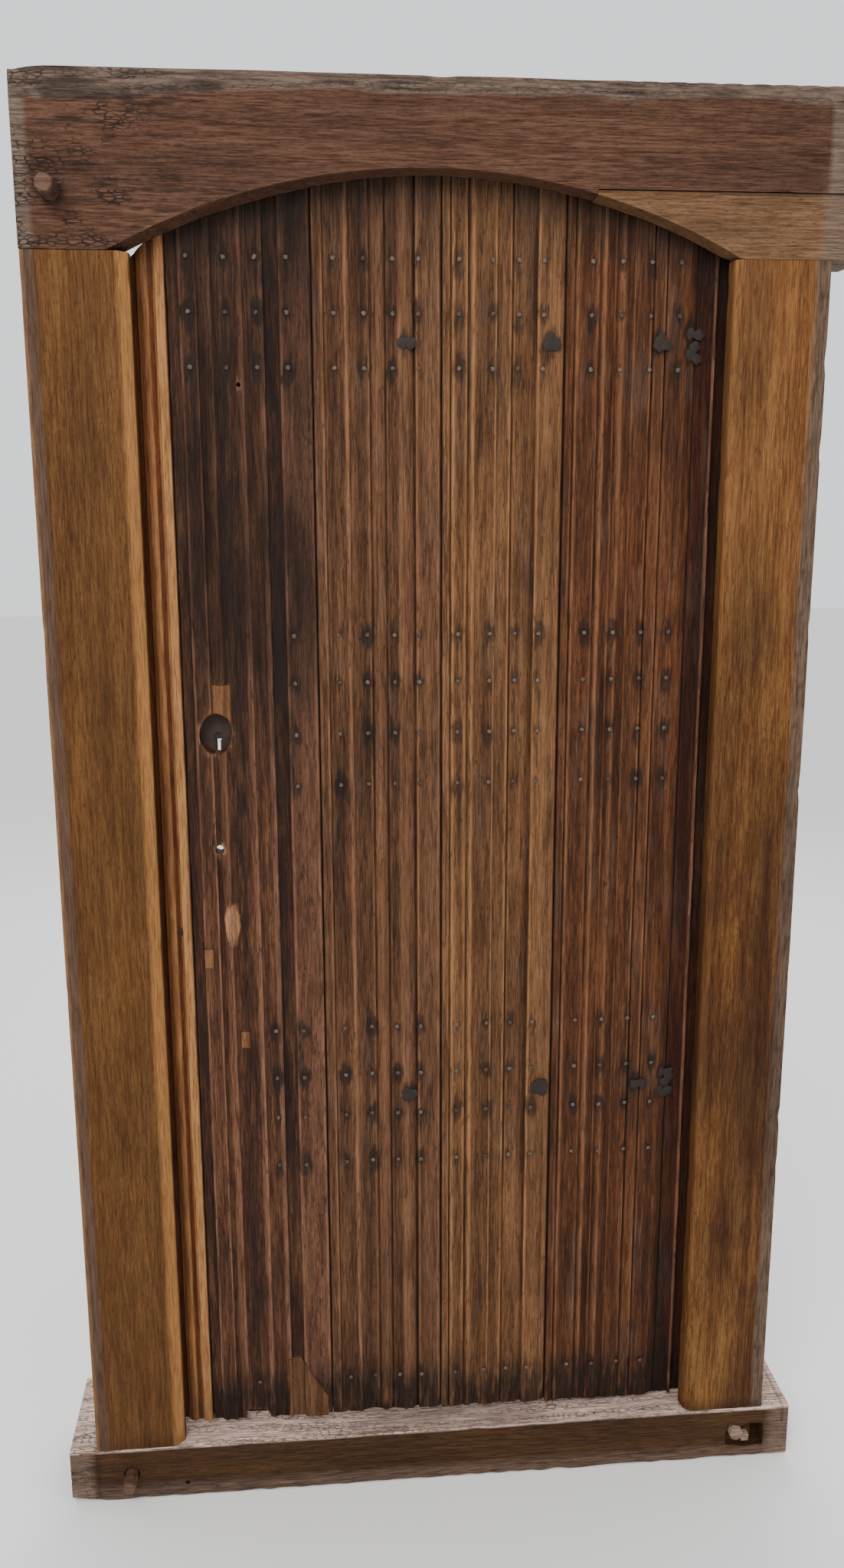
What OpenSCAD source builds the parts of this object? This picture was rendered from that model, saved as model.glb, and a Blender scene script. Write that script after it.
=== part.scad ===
// Arched plank door in a pegged oak frame. Millimetres, +Z up.
// The origin is the middle of the opening at the underside of the sill, half-way through the sill.
// The face seen from outside looks towards -Y, and the leaf swings inwards, towards +Y.

/* [Opening] */
// Clear width between the jambs
opening_w = 761; // [620:1:950]
// Clear height of the jambs, from the sill's top to the lintel
opening_h = 1678; // [1390:1:2050]
// Rise of the arch above the jambs' tops
arch_rise = 99.6; // [70:0.1:120]
// Distance by which the arch springs outside each jamb's inner face
arch_over = 16.3; // [5:0.1:30]
// Sideways shift of the arch's centre
arch_shift = -9; // [-12:0.5:0]

/* [Frame] */
// Width of the left jamb's face
jamb_left_w = 130; // [105:1:160]
// Width of the right jamb's face
jamb_right_w = 127; // [100:1:160]
// Depth of the jambs and the lintel
frame_t = 90; // [84:1:115]
// Height of the lintel
lintel_h = 205; // [165:1:260]
// Length of the lintel's right horn, past the jamb
lintel_horn = 42.5; // [20:0.5:90]
// Height of the sill
sill_h = 89; // [76:1:120]
// Depth of the sill
sill_d = 174; // [145:1:230]
// Length of the sill's left horn, past the jamb
sill_horn_left = 39.5; // [20:0.5:90]
// Length of the sill's right horn, past the jamb
sill_horn_right = 42.5; // [20:0.5:90]
// Width and depth of the chamfer along the left jamb's inner edge
chamfer = 13.5; // [6:0.5:20]
// Radius of the worn inner edge of the right jamb
worn_edge_r = 11; // [4:0.5:20]
// Thickness of the lips that the leaf closes against
lip_t = 32; // [26:0.5:40]
// Width of the rebate behind the lips
rebate_w = 18; // [14:0.5:26]

/* [Joints of the frame] */
// Thickness of the jambs' tenons
tenon_t = 30; // [22:1:36]
// Length of the upper tenons, into the lintel
tenon_top_l = 110; // [85:1:135]
// Length of the lower tenons, into the sill
tenon_foot_l = 66; // [50:1:70]
// Distance of each tenon from the jamb's outer face
tenon_inset = 15; // [8:1:25]
// Gap at each tenon's end
tenon_end_gap = 2; // [1:0.5:5]
// Extra length of the right mortise in the sill, outside the tenon
mortise_spare = 18; // [6:1:26]
// Radius of the peg through the lintel
lintel_peg_r = 13; // [9:0.5:16]
// Length by which the lintel's peg stands out
lintel_peg_out = 45; // [0:1:60]
// Depth of the pegs' holes
peg_deep = 78; // [60:1:86]
// Turn of the lintel's peg away from square
lintel_peg_turn = 6; // [0:0.5:8]
// Height of the lintel's peg above the joint
lintel_peg_z = 66.7; // [40:0.1:80]
// Distance of the lintel's peg from the jamb's outer face
lintel_peg_in = 40.5; // [30:0.5:60]
// Radius of the pegs in the sill
sill_peg_r = 11; // [8:0.5:13]
// Length by which the left sill peg stands out
sill_peg_out = 33; // [0:1:50]
// Depth of the sill's pegs below its top
sill_peg_down = 43; // [34:1:48]
// Distance of the left sill peg from the jamb's outer face
sill_peg_left_in = 50; // [35:1:70]
// Distance of the right sill peg from the jamb's outer face
sill_peg_right_in = 41; // [35:1:70]
// Height of the broken-out slot in the sill's front, around the right peg
break_h = 40; // [30:1:46]
// Length of the broken-out slot
break_l = 59; // [45:1:70]
// Depth of the broken-out slot
break_deep = 12; // [6:1:16]

/* [Lintel repair] */
// Height of the new piece let into the lintel's lower right end
repair_h = 79; // [60:1:95]
// Distance from the opening's middle to the repair's blunt end
repair_from = 200; // [170:1:250]

/* [Leaf] */
// Thickness of the planks
plank_t = 30; // [26:0.5:38]
// Thickness of the ledges across the back
ledge_t = 28; // [24:0.5:36]
// Gap between the leaf and the lips
face_gap = 1.5; // [1:0.1:4]
// Gap beside the leaf on the hinge side
side_gap = 4; // [3:0.5:8]
// Play left at the closing edge while it swings past the reveal
swing_clear = 1; // [0.5:0.1:3]
// Gap between the leaf and the lintel
top_gap = 5; // [4:0.5:9]
// Gap between the lowest plank and the sill
foot_gap = 4; // [3:0.5:15]
// Gap between neighbouring planks
plank_gap = 0.8; // [0.4:0.1:2]
// Thickness of the tongue between two planks
tongue_t = 8; // [6:0.5:10]
// Length of the tongue between two planks
tongue_l = 6; // [4:0.5:9]
// Size of the cut at the leaf's upper left corner, along its edge
corner_cut_z = 30; // [20:1:60]
// Size of the cut at the leaf's upper left corner, along its top
corner_cut_x = 35; // [20:1:60]

/* [Ledges] */
// Height of the top ledge
ledge_top_h = 185; // [150:1:215]
// Height of the lock ledge
ledge_lock_h = 270; // [220:1:300]
// Height of the lower ledge
ledge_low_h = 270; // [220:1:320]
// Height of the foot ledge
ledge_foot_h = 70; // [58:1:100]
// Distance of the top ledge's middle below the lintel
ledge_top_down = 65; // [50:1:90]
// Height of the lock ledge's middle above the sill
ledge_lock_z = 1101; // [1060:1:1110]
// Height of the lower ledge's middle above the sill
ledge_low_z = 536; // [450:1:620]
// Height of the foot ledge's middle above the sill
ledge_foot_z = 70; // [56:1:90]
// Distance of the ledges' ends from the leaf's edges
ledge_short = 12; // [8:1:30]

/* [Hinges] */
// Radius of the pintles' pins
pin_r = 7; // [5:0.5:9]
// Radial clearance of the straps on the pins
pin_clear = 0.08; // [0.04:0.01:0.1]
// Wall around the pin in the strap's eye
eye_wall = 6; // [4:0.5:9]
// Thickness of the straps
strap_t = 6; // [4:0.5:8]
// Height of the straps
strap_h = 42; // [30:1:55]
// Distance of the pins beyond the rebate
pin_out = 33.5; // [26:0.5:45]
// Length of the straps, from the pins to the middle of their round ends
strap_l = 485; // [380:1:600]
// Distance of the upper strap below the middle of the top ledge
strap_up_down = 36; // [0:1:60]
// Height of the lower strap above the middle of the lower ledge
strap_low_up = 0; // [-80:1:80]
// Gap between the straps and the jamb's back
strap_gap = 1.5; // [0.5:0.1:4]
// Distance of the last strap nail from the middle of the strap's round end
strap_end_nail = 17; // [10:1:30]
// Length of the spikes in the jamb
spike_l = 60; // [40:1:76]
// Side of the square spikes
spike_w = 12; // [9:0.5:14]

/* [Lock] */
// Distance of the keyhole from the leaf's closing edge
key_in = 98; // [85:1:110]
// Height of the keyhole above the sill
key_z = 1064; // [1040:1:1075]
// Radius of the keyhole's round head
key_r = 6; // [4:0.5:7]
// Width of the keyhole's slot
key_slot_w = 6; // [4:0.5:7]
// Length of the keyhole below its round head
key_slot_l = 24; // [16:1:26]
// Length of the lock
lock_l = 154; // [140:1:170]
// Height of the lock
lock_h = 118; // [110:1:130]
// Thickness of the lock's sheet iron
lock_wall = 2; // [1.5:0.5:3]
// Height of the bolt
bolt_h = 22; // [16:1:26]
// Thickness of the bolt
bolt_t = 10; // [8:0.5:12]
// Travel of the bolt
bolt_throw = 20; // [14:1:24]
// Length of the bolt
bolt_l = 125; // [110:1:140]
// Height of the bolt's middle above the keyhole
bolt_up = 30; // [26:1:34]
// Height of the keyhole above the lock's lower edge
key_up = 52; // [44:1:58]
// Height of the keep let into the left jamb
keep_h = 60; // [50:1:80]
// Thickness of the keep
keep_t = 2; // [1.5:0.5:3]
// Clearance around the bolt
bolt_clear = 0.4; // [0.3:0.1:1]
// Width of the oval hole in front of the keyhole
oval_w = 43; // [34:1:50]
// Height of the oval hole in front of the keyhole
oval_h = 56; // [48:1:64]
// Radius of the round hole of the missing latch
latch_hole_r = 6; // [4:0.5:8]
// Height of the latch hole above the sill
latch_hole_z = 910; // [880:1:930]

/* [Nails] */
// Radius of the small nails' heads
nail_head_r = 4.2; // [3:0.1:6]
// Radius of the small nails' shanks
nail_r = 1.8; // [1.2:0.1:2.5]
// Radius of the strap nails' heads
big_head_r = 8; // [6:0.5:11]
// Radius of the strap nails' shanks
big_r = 3; // [2.5:0.1:4]

/* [Patches] */
// Depth of the small patches let into the old plank
patch_t = 12; // [8:0.5:14]
// Width of the patch at the foot of the old plank
foot_patch_w = 58; // [45:1:66]
// Height of the patch at the foot of the old plank
foot_patch_h = 106; // [85:1:130]

/* [Hidden] */
$fn = 48;
fit = 0.1;

// Frame: faces and levels
front_y = -sill_d / 2;
frame_back_y = front_y + frame_t;
jamb_in = opening_w / 2;
left_out = jamb_in + jamb_left_w;
right_out = jamb_in + jamb_right_w;
sill_top = sill_h;
joint_z = sill_top + opening_h;
head_z = joint_z + lintel_h;
reveal = jamb_in + rebate_w;
lip_back_y = front_y + lip_t;
tenon_y = lip_back_y - 7;
tenon_front = tenon_y - tenon_t / 2;
arch_half = jamb_in + arch_over;
arch_r = (arch_half * arch_half + arch_rise * arch_rise) / (2 * arch_rise);
arch_cz = joint_z + arch_rise - arch_r;

// Leaf: faces and edges
leaf_y = lip_back_y + face_gap;
ledge_y = leaf_y + plank_t;
leaf_back_y = ledge_y + ledge_t;
leaf_right = reveal - side_gap;
eye_r = pin_r + eye_wall;
pin_x = reveal + pin_out;
eye_y = max(leaf_back_y, frame_back_y + strap_gap);
pin_y = eye_y + eye_r - 0.5;
swing_r = pin_x + reveal;
swing_out = (pin_y - leaf_y) * (pin_y - leaf_y) / (2 * swing_r);
leaf_left = -(reveal - swing_out - swing_clear);
leaf_w = leaf_right - leaf_left;
leaf_foot = sill_top + foot_gap;
leaf_arch_r = arch_r + rebate_w - top_gap;
corner_top = arch_cz + sqrt(leaf_arch_r * leaf_arch_r - pow(leaf_left - arch_shift, 2));

// Section of each plank's face: [width, depth at the element's end, outward bulge at its middle].
// The depth is counted inwards from the leaf's front face, and each list starts at its first number.
NEW = [13, [
  [17.5, 13, 0], [1, 9, 0], [13, 4.5, 2.5], [9.5, 7.5, -1.5], [0.8, 1, 0], [11.2, 1, 0.2], [2, 3, 0]
]];
A = [5, [
  [13.8, 7, -1], [0.8, 2.5, 0], [19, 2, 0], [3.2, 0.5, 0.3], [0.8, 5, 0], [5, 5.5, 0],
  [11, 3, 1.2], [3.5, 7, 0], [17, 6, -1.5], [10.5, 3.5, 0], [8.5, 0.5, 0.8], [2, 3, 0],
  [16.5, 4, -1], [8.5, 1, 1.2], [1.2, 6, 0], [17.5, 6.5, -0.8], [1.5, 1.5, 0],
  [38.5, 1, 0.3], [2.7, 4, 0]
]];
B = [3.5, [
  [1.5, 2, 0], [12, 2, 0], [1.3, 5, 0], [1.3, 3.5, 0], [22.5, 2.5, -1.5], [6, 0.3, 0.8],
  [2, 3, 0], [25.5, 5, -2.5], [1.5, 7.5, 0], [1.7, 4.5, 0], [16.7, 4.5, 3.2], [1.5, 7.5, 0],
  [1.5, 5, 0], [11.5, 3, -0.8], [8, 0.3, 1.2], [15.5, 6, 1], [1.7, 7.5, 0], [1, 2, 0],
  [29.6, 1.5, 0.5], [4, 5, 0]
]];
C = [4, [
  [1.5, 2.2, 0], [9, 2.2, 0], [1.2, 5.5, 0], [1, 2, 0], [2.2, 0.8, 0], [18.3, 2.5, -0.6],
  [1.4, 6, 0], [1, 4, 0], [6, 0.8, 0.8], [18.5, 4.5, -2.2], [9, 2.5, 0.5], [2, 0.8, 0],
  [1.3, 4, 0], [18, 2.5, 0.6], [1.6, 6.5, 0], [1.7, 4, 0], [23, 5, 1], [7.5, 7.5, 0],
  [0.8, 2, 0], [25.5, 2, 0.8], [11, 7, 1.6]
]];
D = [4, [
  [1.5, 2.5, 0], [9, 2.5, 0], [1, 5, 0], [2.5, 1, 0], [29, 3, -1.2], [1.5, 5, 0],
  [7, 0.6, 0.8], [11.5, 5, -1], [1.5, 1.8, 0], [2.5, 4.5, 0], [9, 0.8, 0.8], [13, 5, -1.2],
  [2, 2, 0], [0.8, 3.5, 0], [22, 3, 0.5], [1.6, 7, 0], [1.6, 4, 0], [14.5, 2, 0.8],
  [1.4, 6.5, 0], [1.2, 3, 0], [26, 3.5, 0.8], [14.9, 9, 0]
]];
EDGE = [9, [
  [21, 10.5, -1], [1, 5, 0], [4, 4.5, 0.5], [1.2, 13, 0], [22.5, 13.5, 0]
]];
SECTIONS = [NEW, A, B, C, D, EDGE];
// Height of each plank's foot above the lowest one
FEET = [8, 5, 5, 3, 1, 0];

// Widths of the planks: the sections share the leaf's width
function total(list, i = 0) = i == len(list) ? 0 : list[i] + total(list, i + 1);
function nominal(s) = total([for (e = s[1]) e[0]]);
nominal_all = total([for (s = SECTIONS) nominal(s)]);
width_scale = leaf_w / nominal_all;
function plank_w(i) = nominal(SECTIONS[i]) * width_scale;
function plank_x(i) = i == 0 ? leaf_left : plank_x(i - 1) + plank_w(i - 1);
function plank_foot(i) = leaf_foot + FEET[i];

// Points of one section's face, as [across, depth]
function arc_points(x, from, e) =
  let (n = e[2] == 0 ? 1 : 5)
  [for (k = [1:n])
    let (t = k / n)
    [x + e[0] * t, from + (e[1] - from) * t - e[2] * 4 * t * (1 - t)]];
function face_points(els, from, x = 0, i = 0) =
  i == len(els) ? [] :
  concat(arc_points(x, from, els[i]), face_points(els, els[i][1], x + els[i][0], i + 1));
function face(i) =
  let (s = SECTIONS[i])
  [for (p = concat([[0, s[0]]], face_points(s[1], s[0]))) [p[0] * width_scale, p[1]]];
// Depth of a plank's face at a place across it
function depth_at(i, x) = lookup(x, face(i));

// Nails: columns across each old plank, counted from its left edge, and rows about each ledge
A_COLS = [26, 72, 111, 150];
B_COLS = [28, 66, 103, 136];
C_COLS = [22, 66, 100, 132];
D_COLS = [34, 73, 112, 150];
COLS = [[], A_COLS, B_COLS, C_COLS, D_COLS, []];
TOP_ROWS = [-67, 0, 66];
LOCK_ROWS = [-103, -32, 38, 102];
LOW_ROWS = [-105, -30, 32, 104];
FOOT_ROWS = [0];
ledge_top_z = joint_z - ledge_top_down;
ALL_COLS = [0, 1, 2, 3];
// Each ledge: [middle, height, nail rows, columns used on the first old plank]
LEDGES = [
  [ledge_top_z, ledge_top_h, TOP_ROWS, ALL_COLS],
  [sill_top + ledge_lock_z, ledge_lock_h, LOCK_ROWS, [3]],
  [sill_top + ledge_low_z, ledge_low_h, LOW_ROWS, [2, 3]],
  [sill_top + ledge_foot_z, ledge_foot_h, FOOT_ROWS, [1]]
];

// Lock: levels and edges
key_x = leaf_left + key_in;
key_level = sill_top + key_z;
lock_x = leaf_left + 1.5;
lock_z = key_level - key_up;
bolt_z = key_level + bolt_up;
bolt_y = ledge_y + 7;
bolt_end = lock_x - 0.5;
case_back_y = leaf_back_y;
ledge_lock_from = lock_x + lock_l + 3;
oval_z = key_level + 8;
oval_top = oval_z + oval_h / 2;
patch_split = 0.38;

// Straps: levels, crank at the leaf's edge, and nails as [distance from the pin, height]
strap_up_z = ledge_top_z - strap_up_down;
strap_low_z = sill_top + ledge_low_z + strap_low_up;
crank_from = leaf_right - 30;
crank_to = leaf_right - 6;
STRAP_NAILS = [[92, 11], [92, -11], [133, 0], [279, 0], [strap_l - strap_end_nail, 0]];
spike_z = strap_h / 2 + 10;
boss_r = eye_r - 1;
// Corners of the lock, where it is nailed
LOCK_CORNERS = [[8, 8], [lock_l - 8, 8], [8, lock_h - 8], [lock_l - 8, lock_h - 8]];

OAK = "#6f4a2c";
OLD_OAK = "#4f3626";
NEW_OAK = "#8f6234";
GREY_OAK = "#6b5844";
IRON = "#2e2a28";

// A box between two corners
module box(low, high) {
  translate(low)
    cube(high - low);
}

// A cylinder along +Y
module rod_y(r, y0, y1, x, z, sides = 48) {
  translate([x, y0, z])
    rotate([-90, 0, 0])
      cylinder(r = r, h = y1 - y0, $fn = sides);
}

// ---------- Frame ----------

// The round of the lintel's arch, as a cylinder through the frame
module arch(r, y0, y1) {
  rod_y(r, y0, y1, arch_shift, arch_cz, 180);
}

// The space that the leaf's top and the doorway take from the lintel
module arch_cut() {
  arch(arch_r, front_y - 1, frame_back_y + 1);
  intersection() {
    arch(arch_r + rebate_w, lip_back_y, frame_back_y + 1);
    box([-reveal, lip_back_y, joint_z - 1], [reveal, frame_back_y + 1, head_z]);
  }
}

// A tenon with some clearance, or the mortise that takes it
module tenon(x0, x1, z0, z1, gap = 0) {
  box([x0 - gap, tenon_y - tenon_t / 2 - gap, z0], [x1 + gap, tenon_y + tenon_t / 2 + gap, z1]);
}

module left_tenon(z0, z1, gap = 0) {
  tenon(-left_out + tenon_inset, -reveal - 1, z0, z1, gap);
}

module right_tenon(z0, z1, gap = 0) {
  tenon(reveal + 1, right_out - tenon_inset, z0, z1, gap);
}

// The lintel's peg, which is also the shape of its hole
module lintel_peg_shape(r, y0, y1, sides) {
  translate([-left_out + lintel_peg_in, front_y, joint_z + lintel_peg_z])
    rotate([0, 0, -lintel_peg_turn])
      rod_y(r, y0, y1, 0, 0, sides);
}

module left_sill_peg(r, y0, y1, sides) {
  rod_y(r, y0, y1, -left_out + sill_peg_left_in, sill_top - sill_peg_down, sides);
}

module right_sill_peg(r, y0, y1, sides) {
  rod_y(r, y0, y1, right_out - sill_peg_right_in, sill_top - sill_peg_down, sides);
}

// The broken-out slot in the sill's front, and the open end of its mortise
module sill_break() {
  x1 = right_out - tenon_inset + mortise_spare;
  z0 = sill_top - sill_peg_down - break_h / 2 - 6;
  box([x1 - break_l, front_y - 1, z0], [x1, front_y + break_deep, z0 + break_h]);
  box([x1 - mortise_spare + 1, front_y - 1, z0], [x1, tenon_y, z0 + break_h]);
}

module sill() {
  color(GREY_OAK)
    difference() {
      box([-left_out - sill_horn_left, front_y, 0],
          [right_out + sill_horn_right, front_y + sill_d, sill_h]);
      left_tenon(sill_top - tenon_foot_l - tenon_end_gap, sill_top + 1, fit);
      right_tenon(sill_top - tenon_foot_l - tenon_end_gap, sill_top + 1, fit);
      tenon(right_out - tenon_inset - 1, right_out - tenon_inset + mortise_spare,
            sill_top - tenon_foot_l - tenon_end_gap, sill_top - 12, fit);
      left_sill_peg(sill_peg_r, front_y - 1, front_y + peg_deep, 48);
      right_sill_peg(sill_peg_r, front_y - 1, front_y + peg_deep, 48);
      sill_break();
    }
}

// Hole for a pintle's spike in the right jamb
module spike_hole(z) {
  box([pin_x - spike_w / 2 - fit, frame_back_y - spike_l - fit, z - spike_z - spike_w / 2 - fit],
      [pin_x + spike_w / 2 + fit, frame_back_y + 1, z - spike_z + spike_w / 2 + fit]);
}

module jamb_left() {
  color(NEW_OAK)
    difference() {
      union() {
        box([-left_out, front_y, sill_top], [-jamb_in, frame_back_y, joint_z]);
        left_tenon(sill_top - tenon_foot_l, sill_top + 1);
        left_tenon(joint_z - 1, joint_z + tenon_top_l);
      }
      box([-reveal, lip_back_y, sill_top - 1], [0, frame_back_y + 1, joint_z + 1]);
      translate([-jamb_in, front_y, 0])
        rotate([0, 0, 45])
          cube([chamfer * sqrt(2), chamfer * sqrt(2), 3 * joint_z], center = true);
      left_sill_peg(sill_peg_r, front_y - 1, front_y + peg_deep, 48);
      lintel_peg_shape(lintel_peg_r, -1, peg_deep, 48);
      keep_recess();
      bolt_mortise();
      keep_nail_shanks(nail_r);
    }
}

module jamb_right() {
  color(OAK)
    difference() {
      union() {
        box([jamb_in, front_y, sill_top], [right_out, frame_back_y, joint_z]);
        right_tenon(sill_top - tenon_foot_l, sill_top + 1);
        right_tenon(joint_z - 1, joint_z + tenon_top_l);
      }
      box([0, lip_back_y, sill_top - 1], [reveal, frame_back_y + 1, joint_z + 1]);
      difference() {
        box([jamb_in - 1, front_y - 1, sill_top - 1],
            [jamb_in + worn_edge_r, front_y + worn_edge_r, joint_z + 1]);
        translate([jamb_in + worn_edge_r, front_y + worn_edge_r, sill_top - 2])
          cylinder(r = worn_edge_r, h = opening_h + 4);
      }
      right_sill_peg(sill_peg_r, front_y - 1, front_y + peg_deep, 48);
      spike_hole(strap_up_z);
      spike_hole(strap_low_z);
    }
}

// The part of the lintel's right end that the repair takes
module repair_zone(gap) {
  box([repair_from - gap, front_y - 1, joint_z - 1],
      [right_out + lintel_horn + 1, frame_back_y + 1, joint_z + repair_h + gap]);
}

module lintel_blank() {
  difference() {
    box([-left_out, front_y, joint_z], [right_out + lintel_horn, frame_back_y, head_z]);
    arch_cut();
    left_tenon(joint_z - 1, joint_z + tenon_top_l + tenon_end_gap, fit);
    right_tenon(joint_z - 1, joint_z + tenon_top_l + tenon_end_gap, fit);
    lintel_peg_shape(lintel_peg_r, -1, peg_deep, 48);
  }
}

module lintel() {
  color(OAK)
    difference() {
      lintel_blank();
      repair_zone(fit);
    }
}

module lintel_repair() {
  color(NEW_OAK)
    intersection() {
      lintel_blank();
      repair_zone(0);
    }
}

module lintel_peg() {
  color("#9c8064")
    lintel_peg_shape(lintel_peg_r - fit, -lintel_peg_out, peg_deep - 1, 8);
}

module sill_peg_left() {
  color("#8e7560")
    left_sill_peg(sill_peg_r - fit, front_y - sill_peg_out, front_y + peg_deep - 1, 8);
}

// The right sill peg is broken off, with a splinter of it beside the stub
module sill_peg_right() {
  color("#8e7560")
    union() {
      right_sill_peg(sill_peg_r - fit, front_y - 4, front_y + peg_deep - 1, 8);
      translate([right_out - sill_peg_right_in + sill_peg_r - 2, front_y - 2, sill_top - sill_peg_down - 14])
        cube([11, tenon_front + 2 - front_y, 11]);
    }
}

// ---------- Planks ----------

// Everything outside the leaf's arched top and cut corner, as a solid through it
module outside_top(y0, y1) {
  difference() {
    box([leaf_left - 1, y0, arch_cz], [leaf_right + 1, y1, head_z + 1]);
    arch(leaf_arch_r, y0 - 1, y1 + 1);
  }
  translate([leaf_left, y0, corner_top])
    rotate([-90, 0, 0])
      linear_extrude(y1 - y0)
        polygon([[-1, 1 + corner_cut_z], [-1, -corner_cut_z], [2 * corner_cut_x + 1, -corner_cut_z]]);
}

// One moulded plank, with a groove at its left and a tongue at its right
module plank_blank(i) {
  w = plank_w(i);
  f = face(i);
  tongue_y = plank_t - 6 - tongue_t;
  g = plank_gap / 2;
  last = len(SECTIONS) - 1;
  difference() {
    translate([plank_x(i), leaf_y, plank_foot(i)])
      linear_extrude(head_z - plank_foot(i))
        difference() {
          union() {
            intersection() {
              polygon(concat(f, [[w, plank_t], [0, plank_t]]));
              translate([g, 0])
                square([w - 2 * g, plank_t]);
            }
            if (i < last)
              translate([w - g - 1, tongue_y])
                square([tongue_l + 1, tongue_t]);
          }
          if (i > 0)
            translate([-1, tongue_y - 0.3])
              square([tongue_l + 2, tongue_t + 0.6]);
        }
    outside_top(leaf_y - 1, ledge_y + 1);
  }
}

// The oval hole that shows the lock's plate
module oval_hole() {
  z0 = oval_z - (oval_h - oval_w) / 2;
  for (k = [0, 1])
    rod_y(oval_w / 2, leaf_y - 1, ledge_y + 1, key_x - 2, z0 + k * (oval_h - oval_w));
  box([key_x - 2 - oval_w / 2, leaf_y - 1, z0],
      [key_x - 2 + oval_w / 2, ledge_y + 1, z0 + oval_h - oval_w]);
}

// Zones of the patches let into the old plank, all open to the front
module patch_lock_zone() {
  box([key_x - 4, leaf_y - 1, oval_top - 12], [key_x + 19, leaf_y + patch_t, oval_top + 38]);
}

module plug_upper_zone() {
  box([key_x - 28, leaf_y - 1, key_level - 325], [key_x - 16, leaf_y + patch_t, key_level - 298]);
}

module plug_lower_zone() {
  box([key_x + 18.5, leaf_y - 1, key_level - 449], [key_x + 30.5, leaf_y + patch_t, key_level - 425]);
}

module foot_patch_zone(from, to) {
  x = plank_x(2) - foot_patch_w - 7;
  intersection() {
    translate([x, leaf_y + patch_t, leaf_foot - 1])
      rotate([90, 0, 0])
        linear_extrude(patch_t + 1)
          polygon([[0, 0], [foot_patch_w, 0], [foot_patch_w, 0.36 * foot_patch_h],
                   [0.3 * foot_patch_w, foot_patch_h], [0, foot_patch_h]]);
    box([x + from * foot_patch_w, leaf_y - 2, leaf_foot - 2],
        [x + to * foot_patch_w, ledge_y, leaf_foot + foot_patch_h + 2]);
  }
}

module plank_new() {
  color(NEW_OAK)
    plank_blank(0);
}

module plank_a() {
  color(OLD_OAK)
    difference() {
      plank_blank(1);
      oval_hole();
      rod_y(latch_hole_r, leaf_y - 1, ledge_y + 1, key_x - 2, sill_top + latch_hole_z);
      patch_lock_zone();
      plug_upper_zone();
      plug_lower_zone();
      foot_patch_zone(-0.01, 1.01);
      box([key_x + 6, leaf_y - 1, sill_top], [key_x + 44, leaf_y + 20, plank_foot(1) + 14]);
    }
}

module plank_b() {
  color(OLD_OAK)
    plank_blank(2);
}

module plank_c() {
  color(OLD_OAK)
    plank_blank(3);
}

module plank_d() {
  color(OLD_OAK)
    plank_blank(4);
}

module plank_edge() {
  color(OLD_OAK)
    plank_blank(5);
}

module patch_lock() {
  color(NEW_OAK)
    difference() {
      intersection() {
        plank_blank(1);
        patch_lock_zone();
      }
      oval_hole();
    }
}

module plug_upper() {
  color(NEW_OAK)
    intersection() {
      plank_blank(1);
      plug_upper_zone();
    }
}

module plug_lower() {
  color(NEW_OAK)
    intersection() {
      plank_blank(1);
      plug_lower_zone();
    }
}

module patch_foot_square() {
  color(NEW_OAK)
    intersection() {
      plank_blank(1);
      foot_patch_zone(0, patch_split - 0.003);
    }
}

module patch_foot_angled() {
  color(NEW_OAK)
    intersection() {
      plank_blank(1);
      foot_patch_zone(patch_split + 0.003, 1);
    }
}

// ---------- Ledges ----------

module ledge(k, from) {
  l = LEDGES[k];
  color(OAK)
    difference() {
      box([from, ledge_y, l[0] - l[1] / 2], [leaf_right - ledge_short, leaf_back_y, l[0] + l[1] / 2]);
      outside_top(ledge_y - 1, leaf_back_y + 1);
    }
}

module ledge_top() {
  ledge(0, leaf_left + ledge_short);
}

module ledge_lock() {
  ledge(1, ledge_lock_from);
}

module ledge_low() {
  ledge(2, leaf_left + ledge_short);
}

module ledge_foot() {
  ledge(3, leaf_left + ledge_short);
}

// ---------- Fixings of the leaf ----------

// One wrought nail, driven from the front and clenched over at the back
module nail(x, y, z, back) {
  union() {
    rod_y(nail_head_r, y - 1.2, y + 1, x, z, 16);
    rod_y(nail_r, y, back + 1, x, z, 16);
    box([x - nail_r, back, z - 8], [x + nail_r, back + 2, z + nail_r]);
  }
}

module plank_nails() {
  color(IRON)
    for (l = LEDGES, i = [1:4])
      for (c = i == 1 ? l[3] : ALL_COLS, r = l[2])
        let (x = COLS[i][c] * width_scale)
        nail(plank_x(i) + x, leaf_y + depth_at(i, x), l[0] + r, leaf_back_y);
}

// A single modern nail in the new plank
module board_nail() {
  x = 38 * width_scale;
  y = leaf_y + depth_at(0, x);
  color(IRON)
    union() {
      rod_y(5, y - 1.2, y + 1, plank_x(0) + x, key_level - 272, 16);
      rod_y(nail_r, y, ledge_y - 2, plank_x(0) + x, key_level - 272, 16);
    }
}

// Screws through the ledges into the narrow planks at both edges of the leaf
module edge_screws() {
  color(IRON)
    for (k = [0:3], side = [-1, 1])
      if (side > 0 || k != 1)
        let (x = side < 0 ? leaf_left + 30 : leaf_right - 24,
             z = LEDGES[k][0] - (k == 0 ? 30 : 0) + (k == 2 ? 60 : 0))
        union() {
          rod_y(2.2, leaf_back_y - ledge_t - 12, leaf_back_y - 1, x, z, 16);
          rod_y(4.5, leaf_back_y - 2.5, leaf_back_y, x, z, 16);
        }
}

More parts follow.
